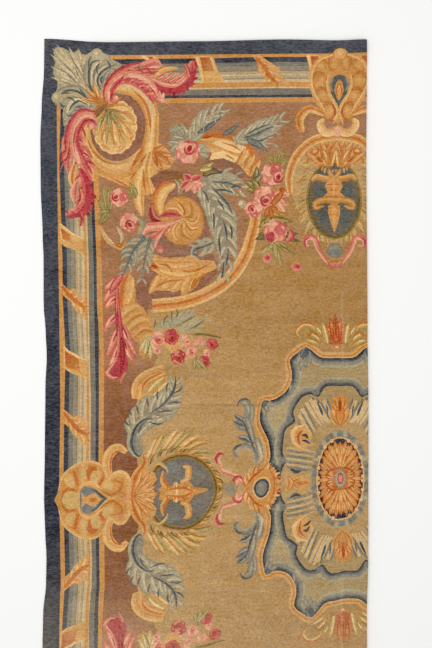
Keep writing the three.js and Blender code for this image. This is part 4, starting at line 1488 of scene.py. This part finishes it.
# Knotted wool pile, cut short and worn: matt, with fine speckle, and bands where dye lots meet
def cutWoolPile():
    material, tree, place, weave = startWool("cut_wool_pile")
    tufts = swing(tree, place, 1, *pile["tufts"])
    dyeLots = swing(tree, place, 1, *pile["dyeLots"])
    both = addNode(tree, "ShaderNodeMath", {"operation": "MULTIPLY"}, [(0, tufts), (1, dyeLots)])
    lit = addNode(tree, "ShaderNodeVectorMath", {"operation": "SCALE"},
                  [(0, weave), ("Scale", both.outputs[0])])
    # These two are added, so that dark wools show their dust
    rows = swing(tree, place, 0, *pile["rows"])
    faded = swing(tree, place, 0, *pile["faded"])
    haze = addNode(tree, "ShaderNodeMath", {"operation": "ADD"}, [(0, rows), (1, faded)])
    dusty = addNode(tree, "ShaderNodeVectorMath", {"operation": "ADD"},
                    [(0, lit.outputs[0]), (1, haze.outputs[0])])
    tone = addNode(tree, "ShaderNodeVectorMath", {"operation": "MAXIMUM", 1: pile["leastTone"]},
                   [(0, dusty.outputs[0])])
    knot = addNode(tree, "ShaderNodeTexVoronoi",
                   {"Scale": 1000 / pile["knot"], "Randomness": pile["knotScatter"]}, [("Vector", place)])
    depth = {"Strength": pile["knotShare"], "Distance": pile["knotDepth"] / 1000}
    bump = addNode(tree, "ShaderNodeBump", depth, [("Height", knot.outputs["Distance"])])
    finish = {"Roughness": pile["roughness"], "Sheen Weight": pile["sheen"],
              "Sheen Roughness": pile["sheenRoughness"], "Specular IOR Level": pile["gloss"]}
    shader = addNode(tree, "ShaderNodeBsdfPrincipled", finish,
                     [("Base Color", tone.outputs[0]), ("Normal", bump.outputs[0])])
    addNode(tree, "ShaderNodeOutputMaterial", {}, [("Surface", shader.outputs[0])])
    return material


back = {
    "ribScale": 60.0,         # makes ribs of 5.2 mm; real ones are about 3 mm
    "ribDrift": 1.0,          # how far the ribs waver
    "ribDepth": 0.5,          # mm
    "ribShare": 0.4,          # how much of that depth shows
    "roughness": 0.9,
    "gloss": 0.2,
}


# Flat woven back and overcast edge: tight wool and linen, matt, in the pile's own colours but duller
def flatWovenBack():
    material, tree, place, weave = startWool("flat_woven_back")
    ribs = {"Scale": back["ribScale"], "Distortion": back["ribDrift"], "bands_direction": "Y"}
    rib = addNode(tree, "ShaderNodeTexWave", ribs, [("Vector", place)])
    depth = {"Strength": back["ribShare"], "Distance": back["ribDepth"] / 1000}
    bump = addNode(tree, "ShaderNodeBump", depth, [("Height", rib.outputs["Fac"])])
    finish = {"Roughness": back["roughness"], "Specular IOR Level": back["gloss"]}
    shader = addNode(tree, "ShaderNodeBsdfPrincipled", finish,
                     [("Base Color", weave), ("Normal", bump.outputs[0])])
    addNode(tree, "ShaderNodeOutputMaterial", {}, [("Surface", shader.outputs[0])])
    return material


print("weaving the cloth")
clothMesh = weaveCloth()
closeCloth(clothMesh)
foldCloth(clothMesh)
print("dyeing the wool")
clothMesh.materials.append(cutWoolPile())
clothMesh.materials.append(flatWovenBack())
rug = addToScene("rug_cloth", clothMesh)
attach(rug, "root")
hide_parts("rug")

studio = {
    "floorSize": 14.0,
    "floorTone": "fafaf8",
    "skyStrength": 0.67,
    "keyHeight": 7.0,
    "keySize": 9.0,
    "keyOffset": (-1.5, 1.0),
    "keyPower": 275.0,
    "lens": 100.0,
    "sensor": 36.0,
    "frameHeight": 4.212,     # metres of floor that the picture takes in, top to bottom
    "frameCentre": (0.0748, 1.079),
}


def layFloor():
    bm = bmesh.new()
    bmesh.ops.create_grid(bm, x_segments=1, y_segments=1, size=studio["floorSize"])
    floorMesh = bpy.data.meshes.new("studio_floor")
    bm.to_mesh(floorMesh)
    bm.free()
    material = bpy.data.materials.new("pale_paper")
    material.use_nodes = True
    sheet = material.node_tree.nodes["Principled BSDF"]
    sheet.inputs["Base Color"].default_value = (*toLinear(studio["floorTone"]), 1)
    sheet.inputs["Roughness"].default_value = 1.0
    sheet.inputs["Specular IOR Level"].default_value = 0.0
    floorMesh.materials.append(material)
    floor = addToScene("studio_floor", floorMesh)


def lightStudio():
    world = bpy.data.worlds.new("studio")
    bpy.context.scene.world = world
    world.use_nodes = True
    world.node_tree.nodes["Background"].inputs["Color"].default_value = (1, 1, 1, 1)
    world.node_tree.nodes["Background"].inputs["Strength"].default_value = studio["skyStrength"]
    lamp = bpy.data.lights.new("overhead_softbox", "AREA")
    lamp.shape = "SQUARE"
    lamp.size = studio["keySize"]
    lamp.energy = studio["keyPower"]
    (x, y), (aside, beyond) = studio["frameCentre"], studio["keyOffset"]
    addToScene("overhead_softbox", lamp).location = (x + aside, y + beyond, studio["keyHeight"])


def setCamera():
    lens = bpy.data.cameras.new("above")
    lens.lens = studio["lens"]
    lens.sensor_width = studio["sensor"]
    lens.clip_end = 100
    camera = addToScene("above", lens)
    height = studio["frameHeight"] * studio["lens"] / studio["sensor"]
    camera.location = (*studio["frameCentre"], height)
    bpy.context.scene.camera = camera


print("setting floor, light and camera")
layFloor()
lightStudio()
setCamera()
